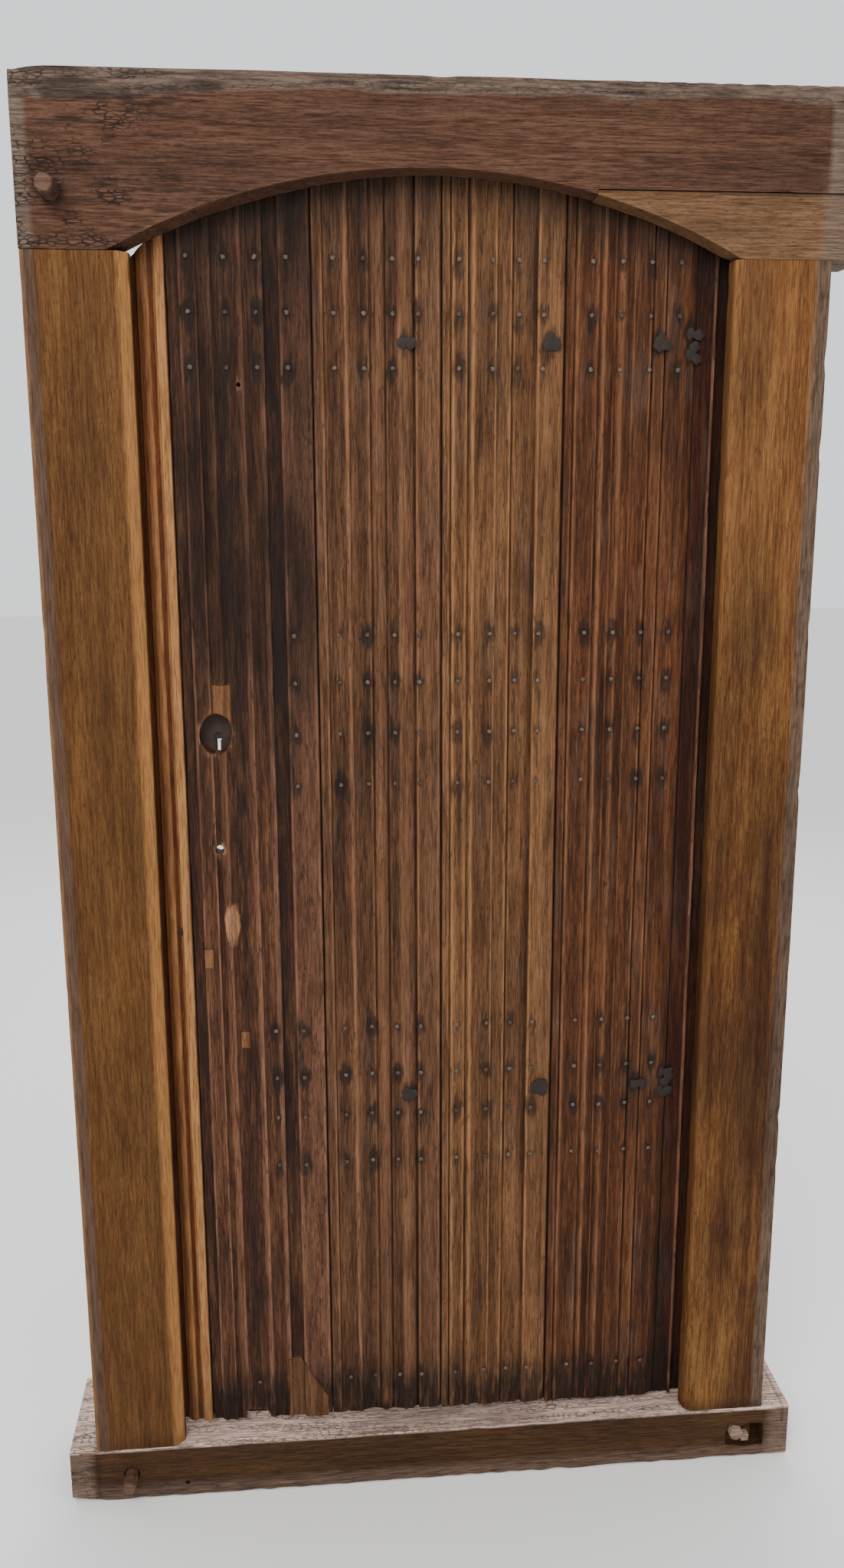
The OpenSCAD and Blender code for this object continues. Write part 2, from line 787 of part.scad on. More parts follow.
// A strap along the leaf's back. At the leaf's edge it cranks outwards where the jamb's back needs it.
module strap(z) {
  color(IRON)
    difference() {
      union() {
        translate([0, 0, z - strap_h / 2])
          linear_extrude(strap_h)
            polygon([[pin_x - strap_l, leaf_back_y], [crank_from, leaf_back_y],
                     [crank_to, eye_y], [pin_x, eye_y],
                     [pin_x, eye_y + strap_t], [crank_to, eye_y + strap_t],
                     [crank_from, leaf_back_y + strap_t], [pin_x - strap_l, leaf_back_y + strap_t]]);
        rod_y(strap_h / 2, leaf_back_y, leaf_back_y + strap_t, pin_x - strap_l, z);
        translate([pin_x, pin_y, z - strap_h / 2])
          cylinder(r = eye_r, h = strap_h);
      }
      translate([pin_x, pin_y, z - strap_h / 2 - 1])
        cylinder(r = pin_r + pin_clear, h = strap_h + 2);
      for (n = STRAP_NAILS)
        rod_y(big_r + fit, leaf_back_y - 1, leaf_back_y + strap_t + 1, pin_x - n[0], z + n[1]);
    }
}

module strap_upper() {
  strap(strap_up_z);
}

module strap_lower() {
  strap(strap_low_z);
}

// Which plank lies at x, and the depth of its face there
function plank_at(x, i = 0) = i == 5 || x < plank_x(i + 1) ? i : plank_at(x, i + 1);
function depth_here(x) = depth_at(plank_at(x), x - plank_x(plank_at(x)));

module strap_nails() {
  color(IRON)
    for (z = [strap_up_z, strap_low_z], n = STRAP_NAILS)
      let (x = pin_x - n[0], y = leaf_y + depth_here(x))
      union() {
        rod_y(big_head_r, y - 2, y + 1.5, x, z + n[1], 24);
        rod_y(big_r, y, leaf_back_y + strap_t + 1, x, z + n[1], 24);
        rod_y(big_head_r - 2, leaf_back_y + strap_t, leaf_back_y + strap_t + 2.5, x, z + n[1], 24);
      }
}

// ---------- Pintles ----------

module pintle(z) {
  base = z - strap_h / 2 - 0.3;
  color(IRON)
    union() {
      translate([pin_x, pin_y, base - 18])
        cylinder(r = boss_r, h = 18);
      translate([pin_x, pin_y, base - 1])
        cylinder(r = pin_r, h = strap_h + 7);
      box([pin_x - spike_w / 2, frame_back_y - spike_l, z - spike_z - spike_w / 2],
          [pin_x + spike_w / 2, pin_y, z - spike_z + spike_w / 2]);
    }
}

module pintle_upper() {
  pintle(strap_up_z);
}

module pintle_lower() {
  pintle(strap_low_z);
}

// ---------- Lock ----------

// The keyhole, as a solid through the lock
module keyhole(y0, y1) {
  rod_y(key_r, y0, y1, key_x, key_level);
  box([key_x - key_slot_w / 2, y0, key_level - key_slot_l],
      [key_x + key_slot_w / 2, y1, key_level]);
}

module lock_nail_shanks(r, y0, y1) {
  for (c = LOCK_CORNERS)
    rod_y(r, y0, y1, lock_x + c[0], lock_z + c[1], 24);
}

module lock_plate() {
  color(IRON)
    difference() {
      box([lock_x, ledge_y, lock_z], [lock_x + lock_l, ledge_y + lock_wall, lock_z + lock_h]);
      keyhole(ledge_y - 1, ledge_y + lock_wall + 1);
      lock_nail_shanks(nail_r + fit, ledge_y - 1, ledge_y + lock_wall + 1);
    }
}

// The lock's cover: a tray open towards the plate, its left wall slotted for the bolt
module lock_case() {
  color(IRON)
    difference() {
      box([lock_x, ledge_y + lock_wall, lock_z], [lock_x + lock_l, case_back_y, lock_z + lock_h]);
      box([lock_x + lock_wall, ledge_y, lock_z + lock_wall],
          [lock_x + lock_l - lock_wall, case_back_y - lock_wall, lock_z + lock_h - lock_wall]);
      bolt_space(lock_x - 1, lock_x + lock_wall + 1);
      keyhole(case_back_y - lock_wall - 1, case_back_y + 1);
      lock_nail_shanks(nail_r + fit, ledge_y, case_back_y + 1);
    }
}

// The space that the bolt needs, with its clearance
module bolt_space(x0, x1) {
  box([x0, bolt_y - bolt_clear, bolt_z - bolt_h / 2 - bolt_clear],
      [x1, bolt_y + bolt_t + bolt_clear, bolt_z + bolt_h / 2 + bolt_clear]);
}

// The bridge that guides the bolt's tail
module bolt_staple() {
  x0 = bolt_end + bolt_l - 18;
  color(IRON)
    difference() {
      box([x0, ledge_y + lock_wall, bolt_z - bolt_h / 2 - 5],
          [x0 + 6, bolt_y + bolt_t + 4, bolt_z + bolt_h / 2 + 5]);
      box([x0 - 1, ledge_y + lock_wall - 1, bolt_z - bolt_h / 2 - bolt_clear],
          [x0 + 7, bolt_y + bolt_t + bolt_clear, bolt_z + bolt_h / 2 + bolt_clear]);
    }
}

// The bolt, drawn back at rest, with the notch that the key turns in
module lock_bolt() {
  color(IRON)
    difference() {
      box([bolt_end, bolt_y, bolt_z - bolt_h / 2], [bolt_end + bolt_l, bolt_y + bolt_t, bolt_z + bolt_h / 2]);
      box([key_x - 8, bolt_y - 1, bolt_z - bolt_h / 2 - 1],
          [key_x + 8, bolt_y + bolt_t + 1, bolt_z - bolt_h / 2 + 6]);
    }
}

// The bowed spring that holds the bolt down, riveted to the lock's upper wall
module lock_spring() {
  top = lock_z + lock_h - lock_wall;
  low = bolt_z + bolt_h / 2 + 0.3;
  x0 = lock_x + 40;
  span = 70;
  n = 10;
  outer = [for (k = [0:n]) let (t = 2 * k / n - 1) [x0 + span * k / n, low + (top - low) * t * t]];
  inner = [for (k = [n:-1:0]) let (t = 2 * k / n - 1)
           [x0 + span * k / n, min(top, low + 1.6 + (top - low) * t * t)]];
  color("#6a625a")
    translate([0, bolt_y + bolt_t, 0])
      rotate([90, 0, 0])
        linear_extrude(bolt_t)
          polygon(concat([for (p = outer) p], [for (p = inner) p]));
}

module lock_nails() {
  color(IRON)
    union() {
      lock_nail_shanks(nail_r, ledge_y - 12, case_back_y + 1);
      lock_nail_shanks(nail_head_r, case_back_y, case_back_y + 1.5);
    }
}

// ---------- Keep in the left jamb ----------

module keep_recess() {
  box([-reveal - keep_t - fit, bolt_y - 6 - fit, bolt_z - keep_h / 2 - fit],
      [-reveal + 1, bolt_y + bolt_t + 6 + fit, bolt_z + keep_h / 2 + fit]);
}

module bolt_mortise() {
  bolt_space(-reveal - bolt_throw - 6, -reveal + 1);
}

module keep_nail_shanks(r) {
  for (s = [-1, 1])
    translate([-reveal - 18, bolt_y + bolt_t / 2, bolt_z + s * (keep_h / 2 - 8)])
      rotate([0, 90, 0])
        cylinder(r = r, h = 18, $fn = 24);
}

module keep_plate() {
  color(IRON)
    difference() {
      box([-reveal - keep_t, bolt_y - 6, bolt_z - keep_h / 2],
          [-reveal, bolt_y + bolt_t + 6, bolt_z + keep_h / 2]);
      bolt_mortise();
      keep_nail_shanks(nail_r);
    }
}

module keep_nails() {
  color(IRON)
    union() {
      keep_nail_shanks(nail_r - 0.02);
      for (s = [-1, 1])
        translate([-reveal, bolt_y + bolt_t / 2, bolt_z + s * (keep_h / 2 - 8)])
          rotate([0, 90, 0])
            cylinder(r = nail_head_r, h = 0.8, $fn = 24);
    }
}

sill();
jamb_left();
jamb_right();
lintel();
lintel_repair();
lintel_peg();
sill_peg_left();
sill_peg_right();
plank_new();
plank_a();
plank_b();
plank_c();
plank_d();
plank_edge();
patch_lock();
plug_upper();
plug_lower();
patch_foot_square();
patch_foot_angled();
ledge_top();
ledge_lock();
ledge_low();
ledge_foot();
plank_nails();
board_nail();
edge_screws();
strap_upper();
strap_lower();
strap_nails();
pintle_upper();
pintle_lower();
lock_plate();
lock_case();
bolt_staple();
lock_bolt();
lock_spring();
lock_nails();
keep_plate();
keep_nails();
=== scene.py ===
"""Looks for the arched plank door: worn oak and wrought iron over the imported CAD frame."""
import math

import bmesh
import bpy
import numpy as np
from mathutils import Matrix, Vector


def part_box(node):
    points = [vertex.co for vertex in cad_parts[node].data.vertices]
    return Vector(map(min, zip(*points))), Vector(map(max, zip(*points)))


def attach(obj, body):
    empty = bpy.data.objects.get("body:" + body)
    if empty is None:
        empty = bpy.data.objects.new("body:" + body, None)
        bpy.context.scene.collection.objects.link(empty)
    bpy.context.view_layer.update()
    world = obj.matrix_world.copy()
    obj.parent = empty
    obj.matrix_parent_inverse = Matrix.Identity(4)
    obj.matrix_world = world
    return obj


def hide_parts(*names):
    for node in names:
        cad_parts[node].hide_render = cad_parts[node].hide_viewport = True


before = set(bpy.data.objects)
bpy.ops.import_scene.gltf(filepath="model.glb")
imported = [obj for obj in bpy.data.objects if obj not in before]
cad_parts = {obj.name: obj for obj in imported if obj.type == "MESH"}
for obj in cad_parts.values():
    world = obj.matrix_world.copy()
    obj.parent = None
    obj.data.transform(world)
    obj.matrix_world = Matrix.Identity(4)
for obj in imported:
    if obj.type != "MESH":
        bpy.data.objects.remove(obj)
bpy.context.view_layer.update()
MM = 0.001

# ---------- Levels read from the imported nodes, in millimetres ----------


def box_mm(node):
    low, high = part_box(node)
    return np.array(low) / MM, np.array(high) / MM


SILL_LOW, SILL_HIGH = box_mm("sill")
LEFT_LOW, LEFT_HIGH = box_mm("jamb_left")
RIGHT_LOW, RIGHT_HIGH = box_mm("jamb_right")
LINTEL_LOW, LINTEL_HIGH = box_mm("lintel")
REPAIR_LOW, REPAIR_HIGH = box_mm("lintel_repair")
FRONT_Y = LINTEL_LOW[1]
BACK_Y = LINTEL_HIGH[1]
JOINT_Z = LINTEL_LOW[2]
SILL_TOP = SILL_HIGH[2]
LINTEL_TOP = LINTEL_HIGH[2]
LEDGE_Y = box_mm("ledge_low")[0][1]
LEAF_Y = LEDGE_Y - 30.0
LIP_Y = FRONT_Y + 32.0
REBATE = 18.0
JAMB_IN = RIGHT_LOW[0]
ARCH_X = -9.0
ARCH_HALF = JAMB_IN + 16.3
ARCH_RISE = 99.6
ARCH_R = (ARCH_HALF ** 2 + ARCH_RISE ** 2) / (2 * ARCH_RISE)
ARCH_Z = JOINT_Z + ARCH_RISE - ARCH_R

# ---------- Noise ----------


def lattice(i, j, seed):
    """A repeatable number from 0 to 1 at each point of a square lattice."""
    h = i.astype(np.int64) * 374761393 + j.astype(np.int64) * 668265263 + seed * 1442695
    h = (h ^ (h >> 13)) * 1274126177
    h = h ^ (h >> 16)
    return (h & 0xFFFFFF) / float(0xFFFFFF)


def noise(u, v, seed):
    """Smooth noise from 0 to 1 over two coordinates."""
    u, v = np.broadcast_arrays(np.asarray(u, float), np.asarray(v, float))
    i, j = np.floor(u), np.floor(v)
    fu, fv = u - i, v - j
    su, sv = fu * fu * (3 - 2 * fu), fv * fv * (3 - 2 * fv)
    a, b = lattice(i, j, seed), lattice(i + 1, j, seed)
    c, d = lattice(i, j + 1, seed), lattice(i + 1, j + 1, seed)
    return (a + (b - a) * su) * (1 - sv) + (c + (d - c) * su) * sv


def rough_noise(u, v, seed, octaves=3):
    """Noise with finer octaves, from 0 to 1."""
    total, weight = 0.0, 0.0
    for k in range(octaves):
        share = 0.5 ** k
        total = total + share * noise(np.asarray(u) * 2 ** k, np.asarray(v) * 2 ** k, seed + 17 * k)
        weight += share
    return total / weight


def ramp(x, low, high):
    """0 at low, 1 at high, smooth between."""
    t = np.clip((np.asarray(x, float) - low) / (high - low), 0, 1)
    return t * t * (3 - 2 * t)


# ---------- Meshes ----------


def added(name, data):
    """An object for some data, put in the scene."""
    obj = bpy.data.objects.new(name, data)
    bpy.context.scene.collection.objects.link(obj)
    return obj


def points_of(node):
    """A CAD node's vertices in millimetres."""
    return np.array([v.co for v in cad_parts[node].data.vertices]) / MM


def new_object(name, verts_mm, faces, marks=None, smooth=True):
    """An object from vertices in millimetres, with one float attribute for each entry of marks."""
    mesh = bpy.data.meshes.new(name)
    mesh.from_pydata((np.asarray(verts_mm) * MM).tolist(), [], [tuple(f) for f in faces])
    for key, values in (marks or {}).items():
        layer = mesh.attributes.new(key, "FLOAT", "POINT")
        layer.data.foreach_set("value", np.asarray(values, np.float32))
    obj = added(name, mesh)
    work = bmesh.new()
    work.from_mesh(mesh)
    bmesh.ops.remove_doubles(work, verts=work.verts, dist=0.00002)
    bmesh.ops.dissolve_degenerate(work, edges=work.edges, dist=0.00001)
    bmesh.ops.recalc_face_normals(work, faces=work.faces)
    work.to_mesh(mesh)
    work.free()
    for polygon in mesh.polygons:
        polygon.use_smooth = smooth
    if smooth:
        mesh.set_sharp_from_angle(angle=math.radians(38))
    return obj


def cut(obj, cutters, extras=()):
    """Adds the extras' shapes to obj, takes the cutters' shapes out of it, and removes them all."""
    tools = [(e, "UNION") for e in extras] + [(c, "DIFFERENCE") for c in cutters]
    for cutter, operation in tools:
        modifier = obj.modifiers.new("cut", "BOOLEAN")
        modifier.operation = operation
        modifier.solver = "MANIFOLD"
        modifier.object = cutter
    graph = bpy.context.evaluated_depsgraph_get()
    mesh = bpy.data.meshes.new_from_object(obj.evaluated_get(graph))
    obj.modifiers.clear()
    old = obj.data
    obj.data = mesh
    bpy.data.meshes.remove(old)
    mesh.name = obj.name
    for cutter, operation in tools:
        bpy.data.objects.remove(cutter)


def prism(points_xz, y0, y1):
    """A cutter through Y with an outline in X and Z, in millimetres."""
    n = len(points_xz)
    verts = [(x, y0, z) for x, z in points_xz] + [(x, y1, z) for x, z in points_xz]
    faces = [tuple(range(n)), tuple(range(2 * n - 1, n - 1, -1))]
    faces += [(k, n + k, n + (k + 1) % n, (k + 1) % n) for k in range(n)]
    return new_object("cutter", verts, faces, smooth=False)


def bar(low, high):
    """A plain bar between two corners, used as a cutter or a tongue."""
    corners = [(low[0], low[2]), (high[0], low[2]), (high[0], high[2]), (low[0], high[2])]
    return prism(corners, low[1], high[1])


def oval(x, z, rx, rz, n=28, ragged=0.0, seed=1):
    """Points of an oval hole's outline, made uneven by ragged."""
    a = np.arange(n) * 2 * math.pi / n
    r = 1 + ragged * (noise(np.cos(a) * 2.3 + 9, np.sin(a) * 2.3 + 9, seed) - 0.5)
    return list(zip(x + rx * r * np.cos(a), z + rz * r * np.sin(a)))


def hull_prism(node, y0, grow):
    """A cutter round a patch: its outline in X and Z, a little larger, from y0 to its back."""
    co = points_of(node)
    middle = (co.min(0) + co.max(0)) / 2
    half = (co.max(0) - co.min(0)) / 2
    scale = (half + grow) / half
    work = bmesh.new()
    for x, y, z in co:
        px = middle[0] + (x - middle[0]) * scale[0]
        pz = middle[2] + (z - middle[2]) * scale[2]
        for py in (y0, co[:, 1].max()):
            work.verts.new((px * MM, py * MM, pz * MM))
    bmesh.ops.convex_hull(work, input=work.verts)
    loose = [v for v in work.verts if not v.link_faces]
    bmesh.ops.delete(work, geom=loose, context="VERTS")
    mesh = bpy.data.meshes.new("cutter")
    work.to_mesh(mesh)
    work.free()
    return added("cutter", mesh)


# ---------- Frame members: a section carried along a line ----------


def band(first, second, n):
    """Faces between two closed rings of n points, from the number of each ring's first point."""
    return [(first + i, first + (i + 1) % n, second + (i + 1) % n, second + i) for i in range(n)]


def rounded(corners, radii, counts):
    """A closed outline with rounded corners. counts gives the parts of each side, from its corner on."""
    n = len(corners)
    points, near = [], []
    turns = 4
    pts = [np.array(c, float) for c in corners]
    starts, ends = [], []
    for k in range(n):
        before, here, after = pts[k - 1], pts[k], pts[(k + 1) % n]
        to_before = (before - here) / max(np.linalg.norm(before - here), 1e-9)
        to_after = (after - here) / max(np.linalg.norm(after - here), 1e-9)
        starts.append(here + to_before * radii[k])
        ends.append(here + to_after * radii[k])
    for k in range(n):
        for t in np.linspace(0, 1, turns + 1):
            q = (1 - t) ** 2 * starts[k] + 2 * t * (1 - t) * pts[k] + t * t * ends[k]
            points.append(q)
            near.append(1.0)
        a, b = ends[k], starts[(k + 1) % n]
        for t in np.linspace(0, 1, counts[k] + 1)[1:-1]:
            points.append(a + (b - a) * t)
            near.append(0.0)
    return np.array(points), np.array(near)


def outward(outline):
    """Unit normals in the section's plane, pointing out of an outline."""
    tangent = np.roll(outline, -1, 0) - np.roll(outline, 1, 0)
    normal = np.stack([tangent[:, 1], -tangent[:, 0]], 1)
    length = np.linalg.norm(normal, axis=1, keepdims=True)
    normal = normal / np.maximum(length, 1e-9)
    x, y = outline[:, 0], outline[:, 1]
    area = np.sum(x * np.roll(y, -1) - np.roll(x, -1) * y)
    return normal if area > 0 else -normal


def member(name, stations, section, place, relief, marks, rings=7):
    """A timber whose section(s) is carried along stations. place puts (s, u, v) in X, Y, Z.

    relief gives how far each point is worn inwards, and marks its attributes. near is 1 close to an
    edge and 0 elsewhere. rings is the number of rings that close each end.
    """
    rows, near_rows, normals = [], [], []
    for s in stations:
        outline, near = section(s)
        rows.append(np.array([place(s, u, v) for u, v in outline]))
        flat = outward(outline)
        base = place(0, 0, 0)
        normals.append(np.array([place(0, u, v) for u, v in flat]) - base)
        near_rows.append(near)
    grid = np.array(rows)
    normal = np.array(normals)
    near = np.array(near_rows)
    count, n = grid.shape[:2]
    points = grid.reshape(-1, 3)
    flat_near = near.reshape(-1)
    along = np.repeat(np.array(stations, float), n)
    worn = relief(points, flat_near, along)
    verts = points - normal.reshape(-1, 3) * worn[:, None]
    faces = []
    for k in range(count - 1):
        faces += band(k * n, (k + 1) * n, n)
    all_verts, all_near, all_worn = [verts], [flat_near], [worn]
    axis = place(1, 0, 0) - place(0, 0, 0)
    start = len(verts)
    for end, sign in ((0, 1), (count - 1, -1)):
        ring = verts[end * n:(end + 1) * n]
        centre = ring.mean(0)
        previous = end * n
        for k in range(1, rings):
            shrink = 1 - k / rings
            inner = centre + (ring - centre) * shrink
            dent = 1.6 * rough_noise(inner[:, 1] / 9 + inner[:, 0] / 9, inner[:, 2] / 9, 77)
            inner = inner + axis * sign * dent[:, None]
            all_verts.append(inner)
            all_near.append(np.zeros(n))
            all_worn.append(dent)
            faces += band(previous, start, n)
            previous = start
            start += n
        all_verts.append(centre[None] + axis * sign)
        all_near.append(np.zeros(1))
        all_worn.append(np.ones(1))
        faces += [(previous + i, previous + (i + 1) % n, start) for i in range(n)]
        start += 1
    verts = np.concatenate(all_verts)
    values = marks(verts, np.concatenate(all_near), np.concatenate(all_worn))
    return new_object(name, verts, faces, values)


def spaced(low, high, step, extra=()):
    """Stations from low to high, with two rows close to each end and each extra place."""
    places = list(np.linspace(low, high, max(2, int((high - low) / step)) + 1))
    places += [low + 1.2, low + 3.5, high - 1.2, high - 3.5]
    places += list(extra)
    return sorted(set(round(p, 3) for p in places))


def chips(along, seed, size, rarity):
    """Depth of chips broken from an edge, at places along it."""
    big = ramp(noise(along / size, 0.5, seed), rarity, 1.0)
    return big * (0.6 + 0.8 * noise(along / (size * 0.17), 3.5, seed + 5))


# ---------- Materials ----------


def links_of(name):
    """A new material, its node tree and its shader."""
    material = bpy.data.materials.new(name)
    material.use_nodes = True
    tree = material.node_tree
    tree.nodes.clear()
    out = tree.nodes.new("ShaderNodeOutputMaterial")
    shader = tree.nodes.new("ShaderNodeBsdfPrincipled")
    tree.links.new(shader.outputs[0], out.inputs["Surface"])
    return material, tree, shader


def put(tree, kind, **values):
    """A node, with its settings and inputs given by name."""
    node = tree.nodes.new(kind)
    for key, value in values.items():
        if hasattr(node, key):
            setattr(node, key, value)
        else:
            node.inputs[key].default_value = value
    return node


def feed(tree, socket, value):
    """Gives a socket a number, a colour, or another node's output."""
    if isinstance(value, (int, float)):
        socket.default_value = value
    elif isinstance(value, tuple):
        socket.default_value = (*value, 1.0)
    elif value is not None:
        tree.links.new(value, socket)


def scaled(tree, cell_mm):
    """Object coordinates divided by a cell's size in millimetres."""
    coord = put(tree, "ShaderNodeTexCoord")
    mapping = put(tree, "ShaderNodeMapping", Scale=[1 / (c * MM) for c in cell_mm])
    tree.links.new(coord.outputs["Object"], mapping.inputs["Vector"])
    return mapping.outputs["Vector"]


def noise_of(tree, cell_mm, detail, roughness, distortion=0.0):
    node = put(tree, "ShaderNodeTexNoise", Scale=1.0, Detail=detail, Roughness=roughness,
               Distortion=distortion)
    tree.links.new(scaled(tree, cell_mm), node.inputs["Vector"])
    return node.outputs["Fac"]


def cells_of(tree, cell_mm, **values):
    """Distances in a field of scattered cells."""
    node = put(tree, "ShaderNodeTexVoronoi", Scale=1.0, **values)
    tree.links.new(scaled(tree, cell_mm), node.inputs["Vector"])
    return node.outputs["Distance"]


def math_of(tree, kind, a, b=None, clamp=False):
    node = put(tree, "ShaderNodeMath", operation=kind, use_clamp=clamp)
    feed(tree, node.inputs[0], a)
    feed(tree, node.inputs[1], b)
    return node.outputs[0]


def times(tree, a, b, clamp=False):
    return math_of(tree, "MULTIPLY", a, b, clamp)


def range_of(tree, value, from_low, from_high, to_low=0, to_high=1):
    """A value carried from one range to another, and kept within it."""
    node = put(tree, "ShaderNodeMapRange")
    for key, number in zip(("From Min", "From Max", "To Min", "To Max"),
                           (from_low, from_high, to_low, to_high)):
        node.inputs[key].default_value = number
    tree.links.new(value, node.inputs["Value"])
    return node.outputs["Result"]


def mix_of(tree, factor, a, b, blend="MIX"):
    """A colour mix. a and b are colours or sockets."""
    node = put(tree, "ShaderNodeMix", data_type="RGBA", blend_type=blend)
    feed(tree, node.inputs["Factor"], factor)
    sockets = [s for s in node.inputs if s.type == "RGBA"]
    for socket, value in zip(sockets, (a, b)):
        feed(tree, socket, value)
    return [s for s in node.outputs if s.type == "RGBA"][0]


def bump_of(tree, height, distance, strength, before=None):
    node = put(tree, "ShaderNodeBump", Strength=strength, Distance=distance)
    tree.links.new(height, node.inputs["Height"])
    feed(tree, node.inputs["Normal"], before)
    return node.outputs["Normal"]


# Sizes in millimetres of the noise cells in timber that runs along X or Z.
GRAIN = {"x": (34, 1.9, 1.9), "z": (1.9, 1.9, 34)}
STREAK = {"x": (260, 13, 12), "z": (12, 13, 260)}
PORE = {"x": (9, 0.9, 0.8), "z": (0.9, 0.8, 9)}
CHECK = {"x": (200, 12, 14), "z": (12, 14, 200)}
CRAZE = {"x": (13, 5, 4.5), "z": (4.5, 5, 13)}
WIDE = {"x": (300, 70, 60), "z": (60, 70, 240)}
DULL = 0.17


def dimmed(colour, share):
    return tuple(c * share for c in colour)


def oak(name, dark, mid, light, along="z", worn=None, grey=(0.13, 0.095, 0.07), black=(0.009, 0.0055, 0.004),
        pores=0.5, checks=0.7, bump=0.8, rough=0.78, blotch=0.35, streaks=0.45):
    """Oak: fibres, streaks, pores and drying checks along the grain, plus wear, dirt and stains; the wear,
    dirt and stain marks also carry painted highlight, shade and shadow.
    """
    material, tree, shader = links_of(name)

    def masked(mark, field, *limits):
        """A mesh attribute broken up by a noise field."""
        node = put(tree, "ShaderNodeAttribute", attribute_name=mark)
        return times(tree, node.outputs["Fac"], range_of(tree, field, *limits))

    fibre = noise_of(tree, GRAIN[along], 6.0, 0.62)
    streak = noise_of(tree, STREAK[along], 4.0, 0.6, 0.4)
    wide = noise_of(tree, WIDE[along], 3.0, 0.5)
    pore = noise_of(tree, PORE[along], 2.0, 0.5)
    check = noise_of(tree, CHECK[along], 3.0, 0.55, 0.2)
    tone = math_of(tree, "ADD", times(tree, fibre, 1 - streaks), times(tree, streak, streaks))
    first = mix_of(tree, range_of(tree, tone, 0.36, 0.52), dark, mid)
    colour = mix_of(tree, range_of(tree, tone, 0.5, 0.66), first, light)
    shade = range_of(tree, wide, 0.3, 0.7, 1 - blotch, 1 + blotch * 0.7)
    gather = put(tree, "ShaderNodeCombineColor")
    for k in range(3):
        tree.links.new(shade, gather.inputs[k])
    colour = mix_of(tree, 1.0, colour, gather.outputs[0], "MULTIPLY")
    pore_mask = range_of(tree, pore, 0.34, 0.42, pores, 0)
    colour = mix_of(tree, pore_mask, colour, dimmed(dark, 0.35))
    grey_tone = mix_of(tree, range_of(tree, fibre, 0.4, 0.6), dimmed(grey, 0.55), grey)
    colour = mix_of(tree, masked("grey", fibre, 0.35, 0.6, 0.75, 1.0), colour, grey_tone)
    # This lightening for wear also paints highlight: the left jamb's lit chamfer and a lit strip on the new
    # plank.
    colour = mix_of(tree, masked("wear", fibre, 0.35, 0.6, 0.4, 1.0), colour, worn or dimmed(light, 1.25))
    # This darkening for dirt also paints shade: the lock plank's upper part and the pegs inside their holes.
    colour = mix_of(tree, masked("dirt", wide, 0.35, 0.65, 1.0, 0.55), colour, dimmed(dark, 0.45))
    edge = math_of(tree, "ABSOLUTE", math_of(tree, "SUBTRACT", check, 0.5))
    check_mask = range_of(tree, edge, 0.004, 0.011, checks, 0)
    cells = cells_of(tree, CRAZE[along], feature="DISTANCE_TO_EDGE")
    patchy = masked("craze", streak, 0.38, 0.56)
    crazed = times(tree, range_of(tree, cells, 0.02, 0.13, 1.0, 0.0), patchy)
    check_mask = math_of(tree, "MAXIMUM", check_mask, crazed)
    colour = mix_of(tree, check_mask, colour, black)
    # This darkening for stains also paints the shadow under the lintel on the planks.
    colour = mix_of(tree, masked("stain", fibre, 0.3, 0.65, 1.0, 0.7), colour, black)
    tree.links.new(colour, shader.inputs["Base Color"])
    tree.links.new(range_of(tree, tone, 0.3, 0.7, rough + 0.1, rough - 0.12), shader.inputs["Roughness"])
    shader.inputs["Specular IOR Level"].default_value = DULL
    first_bump = bump_of(tree, fibre, 0.0012 * bump, 0.8)
    height = math_of(tree, "SUBTRACT", times(tree, pore_mask, -0.4), check_mask)
    tree.links.new(bump_of(tree, height, 0.0015, 0.7, first_bump), shader.inputs["Normal"])
    return material


def iron(name, base=(0.035, 0.028, 0.024), rust=(0.09, 0.035, 0.015), rust_share=0.45, rough=0.55,
         metal=0.55):
    """Hammered wrought iron with a thin skin of rust."""
    material, tree, shader = links_of(name)
    broad = noise_of(tree, (14, 14, 14), 4.0, 0.6)
    fine = noise_of(tree, (1.6, 1.6, 1.6), 4.0, 0.65)
    hammer = cells_of(tree, (9, 9, 9), feature="SMOOTH_F1", Smoothness=0.6)
    mask = times(tree, range_of(tree, broad, 0.42, 0.62), range_of(tree, fine, 0.35, 0.6, 0.3, 1))
    mask = times(tree, mask, rust_share * 2, clamp=True)
    tone = mix_of(tree, range_of(tree, fine, 0.35, 0.65), dimmed(base, 0.6), base)
    tree.links.new(mix_of(tree, mask, tone, rust), shader.inputs["Base Color"])
    shader.inputs["Metallic"].default_value = metal
    tree.links.new(range_of(tree, mask, 0, 1, rough, 0.9), shader.inputs["Roughness"])
    first = bump_of(tree, hammer, 0.0012, 0.6)
    tree.links.new(bump_of(tree, fine, 0.0004, 0.6, first), shader.inputs["Normal"])
    return material


# Each oak's colours are its dark, middle and light fibres.
LINTEL_OAK = oak("lintel_oak", (0.0319, 0.0112, 0.006), (0.0718, 0.031, 0.0165), (0.106, 0.0515, 0.03), "x",
                 worn=(0.15, 0.075, 0.045), grey=(0.15, 0.105, 0.078), checks=0.2, streaks=0.2, blotch=0.25)
REPAIR_OAK = oak("repair_oak", (0.065, 0.0286, 0.0112), (0.128, 0.0638, 0.0287), (0.185, 0.1012, 0.0513),
                 "x", worn=(0.2, 0.105, 0.05), checks=0.1, bump=0.5, grey=(0.14, 0.1, 0.075), streaks=0.25)
FOOT_OAK = oak("foot_oak", (0.05, 0.02, 0.008), (0.1, 0.046, 0.021), (0.145, 0.074, 0.036), checks=0.1)
